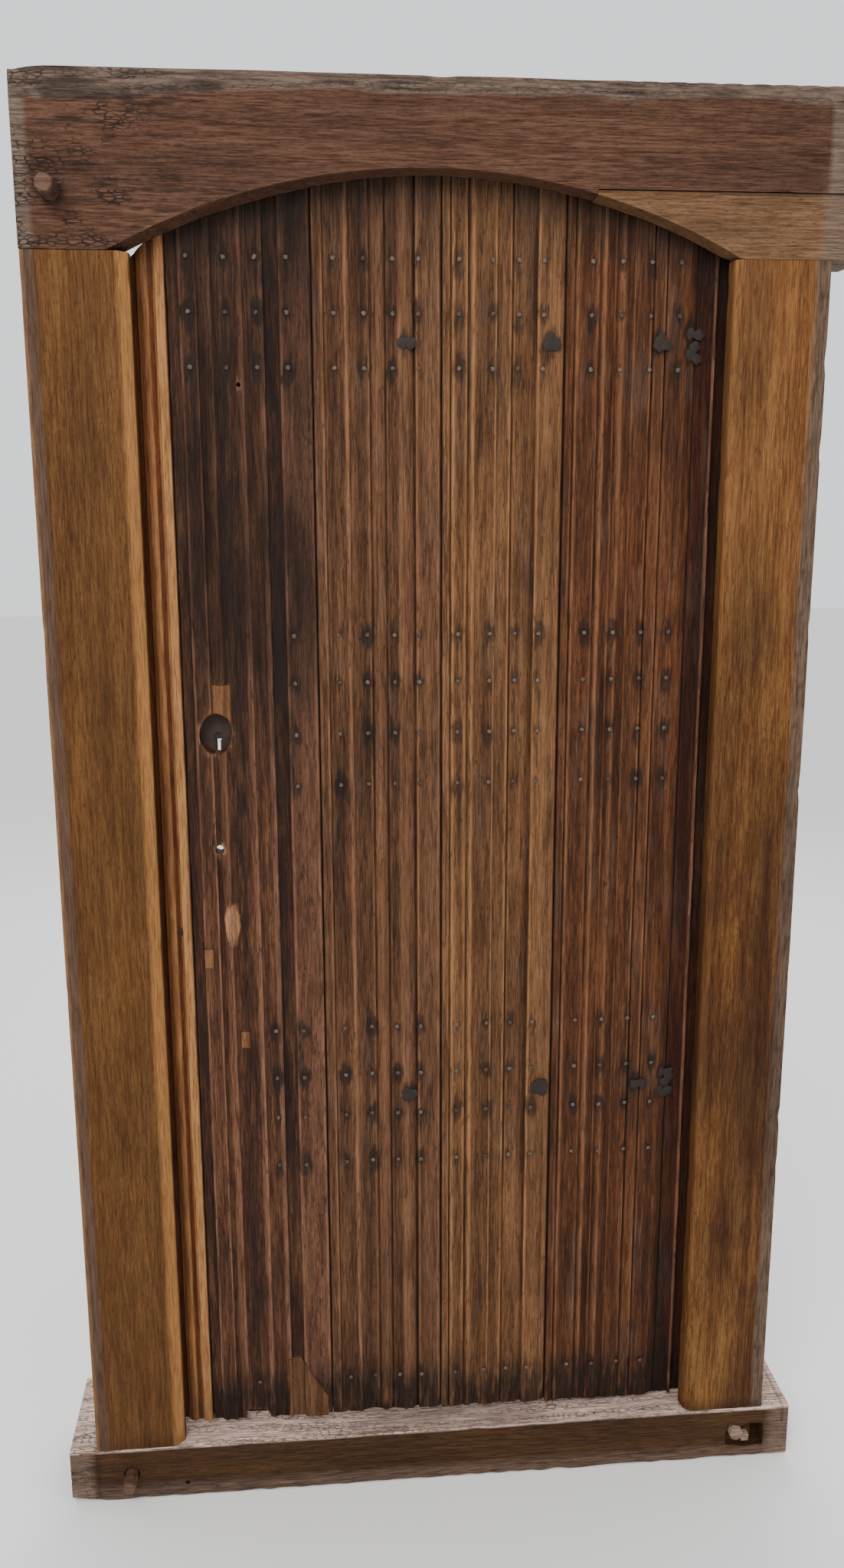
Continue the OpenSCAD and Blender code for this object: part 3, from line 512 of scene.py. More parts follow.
# The left jamb's worn colour is also the painted highlight on its chamfer.
LEFT_OAK = oak("left_oak", (0.0484, 0.0175, 0.0038), (0.088, 0.0351, 0.0076), (0.1298, 0.0585, 0.0162),
               worn=(0.36, 0.165, 0.052), checks=0.1, bump=0.45, blotch=0.22, grey=(0.085, 0.05, 0.035),
               streaks=0.35)
RIGHT_OAK = oak("right_oak", (0.0416, 0.01, 0.0018), (0.104, 0.0387, 0.0081), (0.1768, 0.0838, 0.0234),
                worn=(0.27, 0.12, 0.04), checks=0.4, blotch=0.45, grey=(0.12, 0.08, 0.055))
SILL_OAK = oak("sill_oak", (0.02, 0.0076, 0.0019), (0.042, 0.0168, 0.0047), (0.07, 0.0316, 0.0104), "x",
               worn=(0.4, 0.27, 0.2), grey=(0.84, 0.6, 0.49), checks=0.6, bump=1.2, streaks=0.3)
# The new plank's worn colour is also the painted highlight on the strip across its round.
NEW_PLANK_OAK = oak("new_plank_oak", (0.0298, 0.0063, 0.0012), (0.0723, 0.018, 0.0036),
                    (0.1275, 0.0405, 0.0108), worn=(0.36, 0.17, 0.06), checks=0.1, bump=0.5)
A_OAK = oak("plank_a_oak", (0.0162, 0.0058, 0.0027), (0.0648, 0.0241, 0.0106), (0.1458, 0.0614, 0.0265),
            worn=(0.19, 0.088, 0.05), grey=(0.4, 0.19, 0.09), checks=0.6)
B_OAK = oak("plank_b_oak", (0.0204, 0.0068, 0.0024), (0.0694, 0.0285, 0.0114), (0.1326, 0.0604, 0.0276),
            worn=(0.21, 0.095, 0.045), checks=0.5)
C_OAK = oak("plank_c_oak", (0.032, 0.011, 0.0036), (0.1, 0.0418, 0.015), (0.17, 0.0803, 0.0336),
            worn=(0.27, 0.125, 0.052), checks=0.5)
D_OAK = oak("plank_d_oak", (0.0191, 0.0057, 0.0017), (0.0636, 0.0196, 0.0057), (0.1272, 0.0483, 0.0172),
            worn=(0.185, 0.078, 0.034), checks=0.5)
EDGE_OAK = oak("edge_oak", (0.0138, 0.004, 0.0013), (0.0438, 0.01, 0.0033), (0.0864, 0.0266, 0.0092),
               worn=(0.17, 0.075, 0.04))
LEDGE_OAK = oak("ledge_oak", (0.04, 0.016, 0.006), (0.09, 0.038, 0.016), (0.15, 0.072, 0.034), "x")
PATCH_OAK = oak("patch_oak", (0.0806, 0.0295, 0.0104), (0.1452, 0.0614, 0.0247), (0.2177, 0.1065, 0.0494),
                checks=0.1)
PEG_OAK = oak("peg_oak", (0.03, 0.013, 0.007), (0.07, 0.033, 0.02), (0.12, 0.062, 0.04), "x", checks=0.3,
              worn=(0.15, 0.085, 0.058), bump=0.6)
STUB_OAK = oak("stub_oak", (0.1, 0.06, 0.042), (0.24, 0.16, 0.12), (0.36, 0.26, 0.2), "x", checks=0.5,
               bump=0.9)
IRON = iron("wrought_iron_looks")
NAIL_IRON = iron("nail_iron", (0.02, 0.016, 0.014), (0.05, 0.022, 0.012), 0.35, 0.6)
HEAD_IRON = iron("head_iron", (0.12, 0.09, 0.07), (0.03, 0.015, 0.009), 0.6, 0.75, 0.15)
PLATE_IRON = iron("plate_iron", (0.05, 0.038, 0.03), (0.1, 0.045, 0.022), 0.5, 0.6)


def dress(obj, material, body, slot, *nodes):
    """Gives a piece its material and body, and hides the nodes that it stands for."""
    obj.data.materials.clear()
    obj.data.materials.append(material)
    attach(obj, body)
    if nodes:
        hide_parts(*nodes)


def paint(node, material):
    """A CAD node that keeps its shape gets a better material."""
    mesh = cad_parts[node].data
    for k in range(len(mesh.materials)):
        mesh.materials[k] = material


# ---------- Jambs ----------


def place_z(s, u, v):
    return np.array([u, v, s], float)


def place_x(s, u, v):
    return np.array([s, u, v], float)


def timber_relief(seed, along_axis, edge_chip, rough_mm):
    """Wear of a frame timber: slow waves, raised grain, and chips along its edges."""
    def relief(points, near, along):
        across = points[:, 0] if along_axis == 2 else points[:, 2]
        depth = points[:, 1]
        waves = rough_noise((across + depth) / 45, along / 220, seed, 2)
        grain = noise((across + 1.7 * depth) / 2.2, along / 70, seed + 3)
        side = np.floor(across / 60) * 7 + np.floor(depth / 50) * 3
        broken = chips(along + side * 31, seed + 11, 38, 0.62) * edge_chip * near
        return rough_mm * waves + 0.35 * rough_mm * grain + broken
    return relief


def left_section(s):
    jamb_out, inner = -LEFT_LOW[0], JAMB_IN
    corners = [(-jamb_out, FRONT_Y), (-inner - 13.5, FRONT_Y), (-inner, FRONT_Y + 13.5), (-inner, LIP_Y),
               (-inner - REBATE, LIP_Y), (-inner - REBATE, BACK_Y), (-jamb_out, BACK_Y)]
    return rounded(corners, [3, 1.2, 1.2, 1.2, 0.6, 1.5, 2], [34, 5, 6, 3, 12, 18, 16])


def left_marks(points, near, worn):
    x, y, z = points.T
    front = y < FRONT_Y + 4
    stripe = 15 + 5 * rough_noise(z / 60, 0.3, 5)
    outer = ramp(x - LEFT_LOW[0], stripe + 2, stripe - 2)
    grey = outer * 0.85
    # Painted highlight: the chamfer gets a strong wear mark so that it shows lighter, as where the light
    # falls on it.
    chamfer_highlight = ramp(x, -JAMB_IN - 14.5, -JAMB_IN - 12.5) * ramp(y, FRONT_Y + 16, FRONT_Y + 12)
    wear = np.maximum(0.9 * chamfer_highlight, 0.35 * near * front)
    seam = 0.25 * ramp(x, LEFT_LOW[0] + stripe + 5, LEFT_LOW[0] + stripe) * (1 - outer)
    dirt = 0.5 * ramp(z, SILL_TOP + 30, SILL_TOP) + seam
    return {"grey": grey, "wear": wear, "dirt": np.clip(dirt, 0, 1)}


def right_section(s):
    low = ramp(s, SILL_TOP + 160, SILL_TOP)
    worn_r = 11 + 10 * low
    inner, out = JAMB_IN, RIGHT_HIGH[0]
    corners = [(inner, FRONT_Y), (out, FRONT_Y), (out, BACK_Y), (inner + REBATE, BACK_Y),
               (inner + REBATE, LIP_Y), (inner, LIP_Y)]
    return rounded(corners, [worn_r, 3, 2, 1.5, 0.6, 1.2], [34, 18, 16, 12, 4, 7])


def right_marks(points, near, worn):
    x, y, z = points.T
    stripe = 17 + 6 * rough_noise(z / 70, 1.3, 8)
    outer = ramp(RIGHT_HIGH[0] - x, stripe + 2.5, stripe - 2.5)
    edge = ramp(x, JAMB_IN + 9, JAMB_IN + 2) * ramp(y, FRONT_Y + 14, FRONT_Y + 4)
    dark_low = ramp(z, 1250, 850) * ramp(z, 350, 560)
    foot = 0.7 * ramp(z, SILL_TOP + 22, SILL_TOP)
    dirt = 0.85 * dark_low * rough_noise(x / 30, z / 240, 4) + foot
    stain = 0.55 * outer * ramp(noise(x / 5, z / 14, 9), 0.7, 0.9)
    bright = 0.5 * ramp(z, 1150, 1500) * (1 - outer) * rough_noise(x / 25, z / 160, 7)
    return {"grey": outer * 0.85, "wear": np.clip(0.45 * edge + bright, 0, 1), "dirt": np.clip(dirt, 0, 1),
            "stain": stain}


def bolt_cutters():
    """The pocket that the thrown bolt runs into, and the shallow bed of its iron keep."""
    bolt_low, bolt_high = box_mm("lock_bolt")
    keep_low, keep_high = box_mm("keep_plate")
    pocket = bar((bolt_low[0] - 30, bolt_low[1] - 1, bolt_low[2] - 1),
                 (keep_high[0] + 1, bolt_high[1] + 1, bolt_high[2] + 1))
    bed = bar(keep_low - 0.3, keep_high + np.array([1.0, 0.3, 0.3]))
    return [pocket, bed]


# Middles in X and Z of small holes in the frame's front.
RIGHT_SLIT = (JAMB_IN + 22, 523)
NAIL_HOLE = (478.8, 1914.3)
JOINT_PEG_HOLE = (-470, 1833.7)
REPAIR_SLIT = (417.8, 1817.9)
SILL_HOLE = (-379, 24)
SILL_PEG_HOLE = (-460.5, 46)


def front_hole(middle, radii, depth, sides, ragged, seed):
    """A cutter for an oval hole in the frame's front."""
    return prism(oval(*middle, *radii, sides, ragged, seed), FRONT_Y - 5, FRONT_Y + depth)


def build_jambs():
    stations = spaced(SILL_TOP, JOINT_Z, 7.0)
    left = member("jamb_left_worn", stations, left_section, place_z, timber_relief(3, 2, 1.2, 0.6),
                  left_marks, 2)
    right = member("jamb_right_worn", stations, right_section, place_z, timber_relief(8, 2, 3.0, 1.3),
                   right_marks, 2)
    cut(right, [front_hole(RIGHT_SLIT, (1.6, 13), 9, 14, 0.5, 3)])
    cut(left, bolt_cutters())
    dress(left, LEFT_OAK, "frame", "oak_new", "jamb_left")
    dress(right, RIGHT_OAK, "frame", "oak_brown", "jamb_right")


# ---------- Lintel and its repair ----------


def arch_z(x, extra=0.0):
    """Height of the arch at x, for the doorway or, with extra, for the rebate."""
    r = ARCH_R + extra
    inside = r * r - (x - ARCH_X) ** 2
    return ARCH_Z + math.sqrt(inside) if inside > 0 else JOINT_Z


def lintel_bottoms(x):
    """Heights of the lintel's underside at the front and in the rebate, before the repair."""
    front = max(JOINT_Z, arch_z(x))
    if abs(x) < JAMB_IN + REBATE:
        return front, max(front, arch_z(x, REBATE))
    return front, front


def soffit_drop(x):
    """How much lower the arch's underside is at the back of the lip, most at the left."""
    inside = float(ramp(x, JAMB_IN + 1, JAMB_IN - 8))
    room = max(0.0, lintel_bottoms(x)[0] - JOINT_Z)
    return min(room, inside * (2.5 + 5.0 * float(ramp(x, 0, -300))))


SPLIT_X = REPAIR_LOW[0]
SPLIT_Z = REPAIR_HIGH[2]


def lintel_section(x):
    front, back = lintel_bottoms(x)
    if x > SPLIT_X:
        front, back = SPLIT_Z + 0.15, max(SPLIT_Z + 0.15, back)
    left_wear = 5 * ramp(x, LINTEL_LOW[0] + 60, LINTEL_LOW[0])
    low_back = front if x > SPLIT_X else front - soffit_drop(x)
    corners = [(FRONT_Y, front), (LIP_Y, low_back), (LIP_Y, back), (BACK_Y, back), (BACK_Y, LINTEL_TOP),
               (FRONT_Y, LINTEL_TOP)]
    lip_r = 0.0 if back - front < 2 else 0.8
    return rounded(corners, [1.5, lip_r, lip_r, 1.5, 3, 3 + left_wear], [8, 4, 12, 26, 20, 44])


def repair_section(x):
    front, back = lintel_bottoms(x)
    thin = back > SPLIT_Z - 2
    low_back = front - soffit_drop(x)
    back_y = LIP_Y if thin else BACK_Y
    back_z = low_back if thin else back
    corners = [(FRONT_Y, front), (LIP_Y, low_back), (LIP_Y, back_z), (back_y, back_z), (back_y, SPLIT_Z),
               (FRONT_Y, SPLIT_Z)]
    lip_r = 0.0 if thin or back - front < 2 else 0.8
    back_r = 0.0 if thin else 1.2
    return rounded(corners, [1.2, lip_r, lip_r, back_r, back_r, 1.2], [8, 4, 12, 20, 12, 22])


def lintel_relief(points, near, along):
    x, y, z = points.T
    base = timber_relief(21, 0, 2.4, 1.2)(points, near, along)
    ripple = 0.8 * np.sin(x / 5.5 + 2.5 * noise(x / 60, z / 40, 4)) * ramp(x, 120, 320) * ramp(z, 1900, 1950)
    left = ramp(x, LINTEL_LOW[0] + 45, LINTEL_LOW[0])
    corner = 3.5 * left * ramp(z, LINTEL_TOP - 45, LINTEL_TOP) * (0.5 + noise(x / 12, z / 12, 6))
    high = 2.2 * ramp(z, LINTEL_TOP - 34, LINTEL_TOP - 18)
    top_cracks = high * ramp(rough_noise(x / 90, z / 3.5, 15), 0.6, 0.72)
    return base + np.clip(ripple, 0, 1) + corner + top_cracks


def lintel_marks(points, near, worn):
    x, y, z = points.T
    stripe = 16 + 15 * ramp(x, -180, -420) + 9 * noise(x / 60, 2.5, 31)
    top = ramp(z, LINTEL_TOP - stripe - 4, LINTEL_TOP - stripe + 4)
    left = ramp(x, LINTEL_LOW[0] + 20, LINTEL_LOW[0] + 12)
    right = ramp(x, RIGHT_HIGH[0] - 20 + 8 * noise(z / 30, 0.5, 8), RIGHT_HIGH[0] - 8)
    grey = np.clip(np.maximum(np.maximum(top, left), right), 0, 1) * 0.92
    crack = ramp(rough_noise(x / 110, z / 3.6, 44), 0.62, 0.7) * (0.3 + 0.7 * ramp(x, -150, -400))
    top_crack = 0.9 * top * ramp(rough_noise(x / 60, z / 3.0, 15), 0.6, 0.7)
    crack = np.maximum(crack * ramp(x, -120, -330), top_crack)
    ring = ramp(np.hypot(x - PEG_X, z - PEG_Z), 19, 14) * 0.8
    craze = ramp(x, -300, -400) * ramp(rough_noise(x / 40, z / 30, 48), 0.38, 0.55)
    return {"grey": grey, "wear": 0.2 * near, "dirt": np.clip(0.3 * crack, 0, 1),
            "stain": np.maximum(0.7 * crack, ring), "craze": np.clip(craze + 0.5 * top, 0, 1)}


def repair_marks(points, near, worn):
    x, y, z = points.T
    right = ramp(x, RIGHT_HIGH[0] - 22 + 8 * noise(z / 20, 0.5, 18), RIGHT_HIGH[0] - 12)
    seam = ramp(z, SPLIT_Z - 3, SPLIT_Z)
    return {"grey": right * 0.7, "wear": 0.3 * near * (1 - seam), "dirt": 0.8 * seam, "stain": 0.4 * seam}


PEG_X, PEG_Z = [float(v) for v in (sum(box_mm("lintel_peg")) / 2)[[0, 2]]]


def build_lintel():
    low, high = LINTEL_LOW[0], LINTEL_HIGH[0]
    reveal = JAMB_IN + REBATE
    steps = (SPLIT_X - 0.02, SPLIT_X + 0.02, reveal - 0.02, reveal + 0.02, -reveal - 0.02, -reveal + 0.02)
    lintel = member("lintel_worn", spaced(low, high, 7.0, steps), lintel_section, place_x,
                    lintel_relief, lintel_marks)
    cut(lintel, [front_hole(NAIL_HOLE, (3.2, 3.4), 25, 14, 0.3, 2),
                 front_hole(JOINT_PEG_HOLE, (13.6, 13.6), 30, 20, 0.1, 4)])
    dress(lintel, LINTEL_OAK, "frame", "oak_brown", "lintel")
    thin_x = ARCH_X + math.sqrt((ARCH_R + REBATE) ** 2 - (SPLIT_Z - 2 - ARCH_Z) ** 2)
    steps = (thin_x - 0.02, thin_x + 0.02, reveal - 0.02, reveal + 0.02)
    repair = member("lintel_repair_worn", spaced(SPLIT_X + 0.3, high, 7.0, steps), repair_section, place_x,
                    timber_relief(33, 0, 1.0, 0.5), repair_marks)
    cut(repair, [front_hole(REPAIR_SLIT, (1.2, 5), 12, 12, 0.4, 7)])
    dress(repair, REPAIR_OAK, "frame", "oak_new", "lintel_repair")


# ---------- Sill ----------


def sill_section(x):
    y0, y1 = SILL_LOW[1], SILL_HIGH[1]
    z0, z1 = SILL_LOW[2], SILL_TOP
    left = ramp(x, SILL_LOW[0] + 50, SILL_LOW[0])
    corners = [(y0, z0), (y1, z0), (y1, z1), (y0, z1)]
    return rounded(corners, [3 + 14 * left, 4, 4, 4 + 2 * left], [40, 20, 44, 24])


def sill_relief(points, near, along):
    x, y, z = points.T
    base = timber_relief(41, 0, 3.4, 1.6)(points, near, along)
    front_top = ramp(z, SILL_TOP - 16, SILL_TOP - 2) * ramp(y, SILL_LOW[1] + 14, SILL_LOW[1])
    splinter = ramp(noise(x / 55, 0.5, 12), 0.5, 0.85) * rough_noise(x / 6, z / 2.5, 13)
    hollow = 3.5 * ramp(np.abs(x), 300, 80) * ramp(z, SILL_TOP - 2, SILL_TOP) * ramp(y, 60, -40)
    under = 3 * ramp(z, 8, 0) * noise(x / 16, y / 30, 14)
    end = ramp(x, SILL_LOW[0] + 60, SILL_LOW[0] + 10)
    end_crack = 5 * ramp(rough_noise(x / 40, z / 3.5, 19), 0.62, 0.72) * end
    return base + 5 * front_top * splinter + hollow + under * near + end_crack


def sill_marks(points, near, worn):
    x, y, z = points.T
    top = ramp(z, SILL_TOP - 7, SILL_TOP - 3)
    dusty = ramp(z, 34, 12) * 0.35
    patchy = 0.75 + 0.25 * rough_noise(x / 60, y / 25, 6)
    ends = ramp(np.abs(x), 512, 522) * 0.45 * (1 - top)
    edge = ramp(z, SILL_TOP - 14, SILL_TOP - 2) * ramp(y, SILL_LOW[1] + 8, SILL_LOW[1] + 1)
    fresh = edge * ramp(worn, 1.8, 4)
    scribe = ramp(np.abs(x - LEFT_LOW[0]), 1.2, 0.3) * 0.5
    slice_line = ramp(np.abs(x - SILL_HIGH[0] + 10), 1.4, 0.5) * ramp(z, 58, 62) * 0.8
    return {"grey": np.clip(np.maximum(top * patchy, 0.25 * dusty + 0.3 * ends), 0, 1),
            "craze": 0.8 * top + 0.4 * ends, "wear": 0.5 * fresh,
            "dirt": 0.3 * scribe, "stain": np.clip(scribe * 0.6 + slice_line, 0, 1)}


def build_sill():
    stations = spaced(SILL_LOW[0], SILL_HIGH[0], 6.5, (SILL_HIGH[0] - 10.8, SILL_HIGH[0] - 9.2))
    sill = member("sill_worn", stations, sill_section, place_x, sill_relief, sill_marks)
    x1 = RIGHT_HIGH[0] + 3
    ragged = [(x1 - 59, 24), (x1 - 30, 19), (x1 - 8, 21), (x1, 20), (x1 + 1, 40), (x1 - 1, 59), (x1 - 20, 61),
              (x1 - 36, 57), (x1 - 57, 60), (x1 - 60, 44)]
    slot = prism(ragged, FRONT_Y - 5, FRONT_Y + 12)
    deep = prism([(x1 - 17, 21), (x1 - 0.5, 22), (x1 - 0.5, 58), (x1 - 17, 58)], FRONT_Y - 5, FRONT_Y + 25)
    hole = front_hole(SILL_HOLE, (3, 3), 18, 12, 0.3, 5)
    peg_hole = front_hole(SILL_PEG_HOLE, (11.5, 11.5), 30, 18, 0.1, 5)
    cut(sill, [slot, deep, hole, peg_hole])
    dress(sill, SILL_OAK, "frame", "oak_weathered", "sill")


# ---------- Pegs ----------


def peg(name, node, seed):
    """A whittled eight-sided peg, a little uneven, with a worn end."""
    low, high = box_mm(node)
    middle = (low + high) / 2
    front, back = low[1] + 1.0, high[1]
    radius = (high[2] - low[2]) / 2
    sides, rows = 8, 15
    verts = []
    for k in range(rows):
        t = k / (rows - 1)
        y = front + (back - front) * t ** 1.5
        shrink = 0.8 if k == 0 else (0.93 if k == 1 else 1.0)
        for i in range(sides):
            a = 2 * math.pi * (i + 0.5) / sides
            facet = 1 - 0.05 * (i % 2)
            wobble = 1 - 0.07 * float(noise(k * 0.6, i * 0.9, seed))
            r = radius * shrink * facet * wobble
            verts.append((middle[0] + r * math.cos(a) * 0.99, y, middle[2] + r * math.sin(a)))
    faces = []
    for k in range(rows - 1):
        faces += band(k * sides, (k + 1) * sides, sides)
    faces.append(tuple(range(sides)))
    faces.append(tuple(range(len(verts) - 1, len(verts) - sides - 1, -1)))
    depth = np.array(verts)[:, 1]
    # Painted shade: the peg is darker where it runs into the frame's hole.
    marks = {"wear": 0.5 * ramp(depth, front + 8, front),
             "dirt": 0.9 * ramp(depth, FRONT_Y - 2, FRONT_Y + 4)}
    obj = new_object(name, verts, faces, marks, smooth=False)
    dress(obj, PEG_OAK, "frame", "oak_peg", node)


# ---------- Planks ----------


def plank_face(node):
    """The face's section, as places across and depths behind the leaf's front plane."""
    co = points_of(node)
    if node == "plank_a":
        end = co[co[:, 2] > JOINT_Z - 20]
    else:
        end = co[np.abs(co[:, 2] - co[:, 2].min()) < 0.5]
    face = end[end[:, 1] < LEAF_Y + 14.6]
    return np.array(sorted(set((round(float(x), 2), round(float(y - LEAF_Y), 2)) for x, y, z in face)))


def columns(points, step):
    """Places across a plank: each point of its section, with no wider spacing than step between."""
    xs = sorted(set(points[:, 0]))
    out = [xs[0]]
    for x in xs[1:]:
        parts = max(1, int(math.ceil((x - out[-1]) / step)))
        out += list(np.linspace(out[-1], x, parts + 1)[1:])
    return np.array([x for k, x in enumerate(out) if k == 0 or x - out[k - 1] > 0.12])


def top_outline(nodes):
    """Height of the leaf's arched top at places across it, from the CAD nodes' upper edges."""
    heights = {}
    for node in nodes:
        co = points_of(node)
        for x, y, z in co[co[:, 2] > JOINT_Z - 60]:
            key = round(float(x), 1)
            heights[key] = max(heights.get(key, 0), float(z))
    places = np.array(sorted(heights))
    return places, np.array([heights[x] for x in places])


TOP_X, TOP_Z = top_outline(("plank_new", "plank_a", "plank_b", "plank_c", "plank_d", "plank_edge"))


def leaf_top(x):
    """Height of the leaf's top at x."""
    return np.interp(x, TOP_X, TOP_Z)


def nail_places(node):
    """Middle and front of each nail, from the CAD node."""
    co = points_of(node)
    heads = {}
    order = np.argsort(co[:, 1])
    for x, y, z in co[order]:
        key = next((k for k in heads if abs(k[0] - x) < 10 and abs(k[1] - z) < 10.5), None)
        if key is None:
            heads[(x, z)] = [(x, y, z)]
        else:
            heads[key].append((x, y, z))
    out = []
    for points in heads.values():
        p = np.array(points)
        front = p[p[:, 1] < p[:, 1].min() + 0.6]
        out.append((front[:, 0].mean(), p[:, 1].min(), front[:, 2].mean(), p[:, 1].max()))
    return out


PLANK_NAILS = nail_places("plank_nails")
STRAP_NAILS = nail_places("strap_nails")
BOARD_NAILS = nail_places("board_nail")


def smoothed(profile, xs, reach):
    """The section averaged over a distance, to tell its ridges from its hollows."""
    fine = np.linspace(xs[0], xs[-1], 600)
    values = np.interp(fine, xs, profile)
    width = max(3, int(reach / (fine[1] - fine[0])))
    padded = np.pad(values, width, mode="edge")
    average = np.convolve(padded, np.ones(2 * width + 1) / (2 * width + 1), mode="valid")
    return np.interp(xs, fine, average)


# Extra rows close to a plank's ends, as shares of its length.
CLOSE_ROWS = [0.0012, 0.003, 0.9975]


class Board:
    """A plank's face as a grid of points, X across and Z up, and the noise that belongs to it."""

    def __init__(self, node, seed, step, row, rot):
        low, high = box_mm(node)
        self.points = plank_face(node)
        self.seed, self.foot, self.head, self.rot = seed, low[2], high[2], rot
        xs = columns(self.points, step)
        self.xs = xs
        self.tops = np.minimum(leaf_top(xs), high[2])
        rows = int((high[2] - low[2]) / row)
        t = np.sort(np.concatenate([np.linspace(0, 1, rows + 1), CLOSE_ROWS]))
        frayed = ramp(noise(xs / 13, 0.5, seed + 3), 0.45, 1)
        self.feet = low[2] + rot * (1.5 * noise(xs / 4.5, 0.5, seed + 2) + 2.5 * frayed)
        self.X = np.repeat(xs[None], len(t), 0)
        self.Z = self.feet[None] + t[:, None] * (self.tops - self.feet)[None]
        self.above = self.Z - self.feet[None]

    def soft(self, across, along, k):
        return noise(self.X / across, self.Z / along, self.seed + k)

    def rough(self, across, along, k):
        return rough_noise(self.X / across, self.Z / along, self.seed + k)

    def section(self):
        """The CAD's section at each point, and how far each point is a ridge or a hollow."""
        across, deep = self.points.T
        wander = 1.2 * (self.soft(40, 190, 0) - 0.5) + 0.5 * (self.soft(8, 35, 1) - 0.5)
        section = np.interp(self.X + wander, across, deep)
        middle = section[len(section) // 2]
        profile = np.interp(self.xs, across, deep)
        ridge = np.clip((smoothed(middle, self.xs, 4.0) - profile) / 0.9, 0, 1)
        hollow = np.clip((profile - smoothed(middle, self.xs, 9.0)) / 2.6, 0, 1)
        whole = np.ones_like(self.Z)
        return section, ridge[None] * whole, hollow[None] * whole


def aged(b, section, ridge, wear, ripple):
    """The section with raised grain, worn ridges, dents, a decayed foot and, in one band, ripples."""
    depth = section + wear * (0.55 * b.soft(1.9, 60, 4) + 0.9 * b.rough(16, 150, 5))
    depth += ridge * wear * (0.4 + 1.6 * ramp(b.soft(30, 45, 6), 0.55, 0.95))
    rng = np.random.default_rng(b.seed)
    for _ in range(int(26 * wear) + 4):
        cx, cz = rng.uniform(b.xs[0], b.xs[-1]), rng.uniform(b.foot, b.head)
        sx, sz, deep = rng.uniform(0.8, 3.0), rng.uniform(4, 26), rng.uniform(0.5, 2.0) * wear
        depth += deep * np.exp(-((b.X - cx) / sx) ** 2 - ((b.Z - cz) / sz) ** 2)
    decay = ramp(b.above, 95 + 90 * noise(b.X / 22, 0.5, b.seed + 8), 0) * b.rot
    depth += decay * (4.5 * b.rough(4.5, 26, 9) - 0.6)
    if ripple is not None:
        inside = ramp(b.X, ripple[0], ripple[0] + 4) * ramp(b.X, ripple[1], ripple[1] - 4)
        waves = 1 + np.sin(b.Z / 3.4 + 5 * b.soft(20, 60, 12))
        depth += inside * 0.7 * waves * b.soft(12, 50, 13)
    return depth


def bare_wood(b, depth, fresh):
    """How bare each point is of its old surface. A spot with no hole in it is also sunk into depth."""
    bare = np.zeros_like(b.Z)
    for x, z, inner, outer, share in fresh:
        reach = np.hypot((b.X - x) / outer[0], (b.Z - z) / outer[1])
        reach = reach + 0.5 * (b.rough(5, 9, 30) - 0.5)
        core = np.hypot((b.X - x) / max(inner[0], 0.1), (b.Z - z) / max(inner[1], 0.1))
        spot = ramp(reach, 1.05, 0.85) * (ramp(core, 0.9, 1.0) if inner[0] else 1.0)
        bare = np.maximum(bare, share * spot)
        if not inner[0]:
            depth += 3.0 * spot * (0.5 + 0.7 * b.rough(3, 14, 31))
    return bare


def nail_stains(b, depth):
    """Dark stains round the nails and below them. The wood is also sunk a little round each nail."""
    blot = np.zeros_like(b.Z)
    broken = b.rough(3.2, 11, 14) - 0.5
    streaky = ramp(b.rough(3, 24, 15), 0.35, 0.65)
    for x, y, z, back in PLANK_NAILS + STRAP_NAILS + BOARD_NAILS:
        if x < b.xs[0] - 15 or x > b.xs[-1] + 15:
            continue
        strength = float(noise(x / 7.0, z / 11.0, 301)) ** 1.6
        depth += 0.9 * np.exp(-(np.hypot(b.X - x, b.Z - z) / 6.0) ** 2)
        close = np.exp(-np.hypot((b.X - x) / 8.5, (b.Z - z) / 17.0) ** 2)
        smear = ramp(close * (0.35 + 1.2 * strength) + 1.0 * broken, 0.3, 0.6)
        run = np.exp(-((b.X - x) / 4.5) ** 2) * ramp(b.Z, z - 95, z - 8) * ramp(b.Z, z + 30, z + 4)
        blot = np.maximum(blot, (0.75 + 0.25 * strength) * smear * ramp(close, 0.02, 0.25))
        blot = np.maximum(blot, 0.8 * strength * run * streaky)
    return blot


def shell(b, depth):
    """The worn face with flat sides back to the ledges, as one closed shell."""
    n, m = b.X.shape
    front = np.stack([b.X, LEAF_Y + depth, b.Z], -1).reshape(-1, 3)
    index = np.arange(n * m).reshape(n, m)
    faces = [(index[k, i], index[k, i + 1], index[k + 1, i + 1], index[k + 1, i])
             for k in range(n - 1) for i in range(m - 1)]
    rim = np.concatenate([index[0, :], index[1:, -1], index[-1, -2::-1], index[-2:0:-1, 0]])
    back = front[rim].copy()
    back[:, 1] = LEDGE_Y
    start, size = len(front), len(rim)
    faces += [(rim[k], start + k, start + (k + 1) % size, rim[(k + 1) % size]) for k in range(size)]
    left = [start] + [start + size - k for k in range(1, n - 1)]
    right = [start + m - 1 + k for k in range(n)]
    faces += [(left[k], left[k + 1], right[k + 1], right[k]) for k in range(1, n - 2)]
    faces.append(tuple([start + k for k in range(m)] + [right[1], left[1]]))
    faces.append(tuple([right[n - 2]] + [right[n - 1] + k for k in range(m)] + [left[n - 2]]))
    return np.concatenate([front, back]), faces


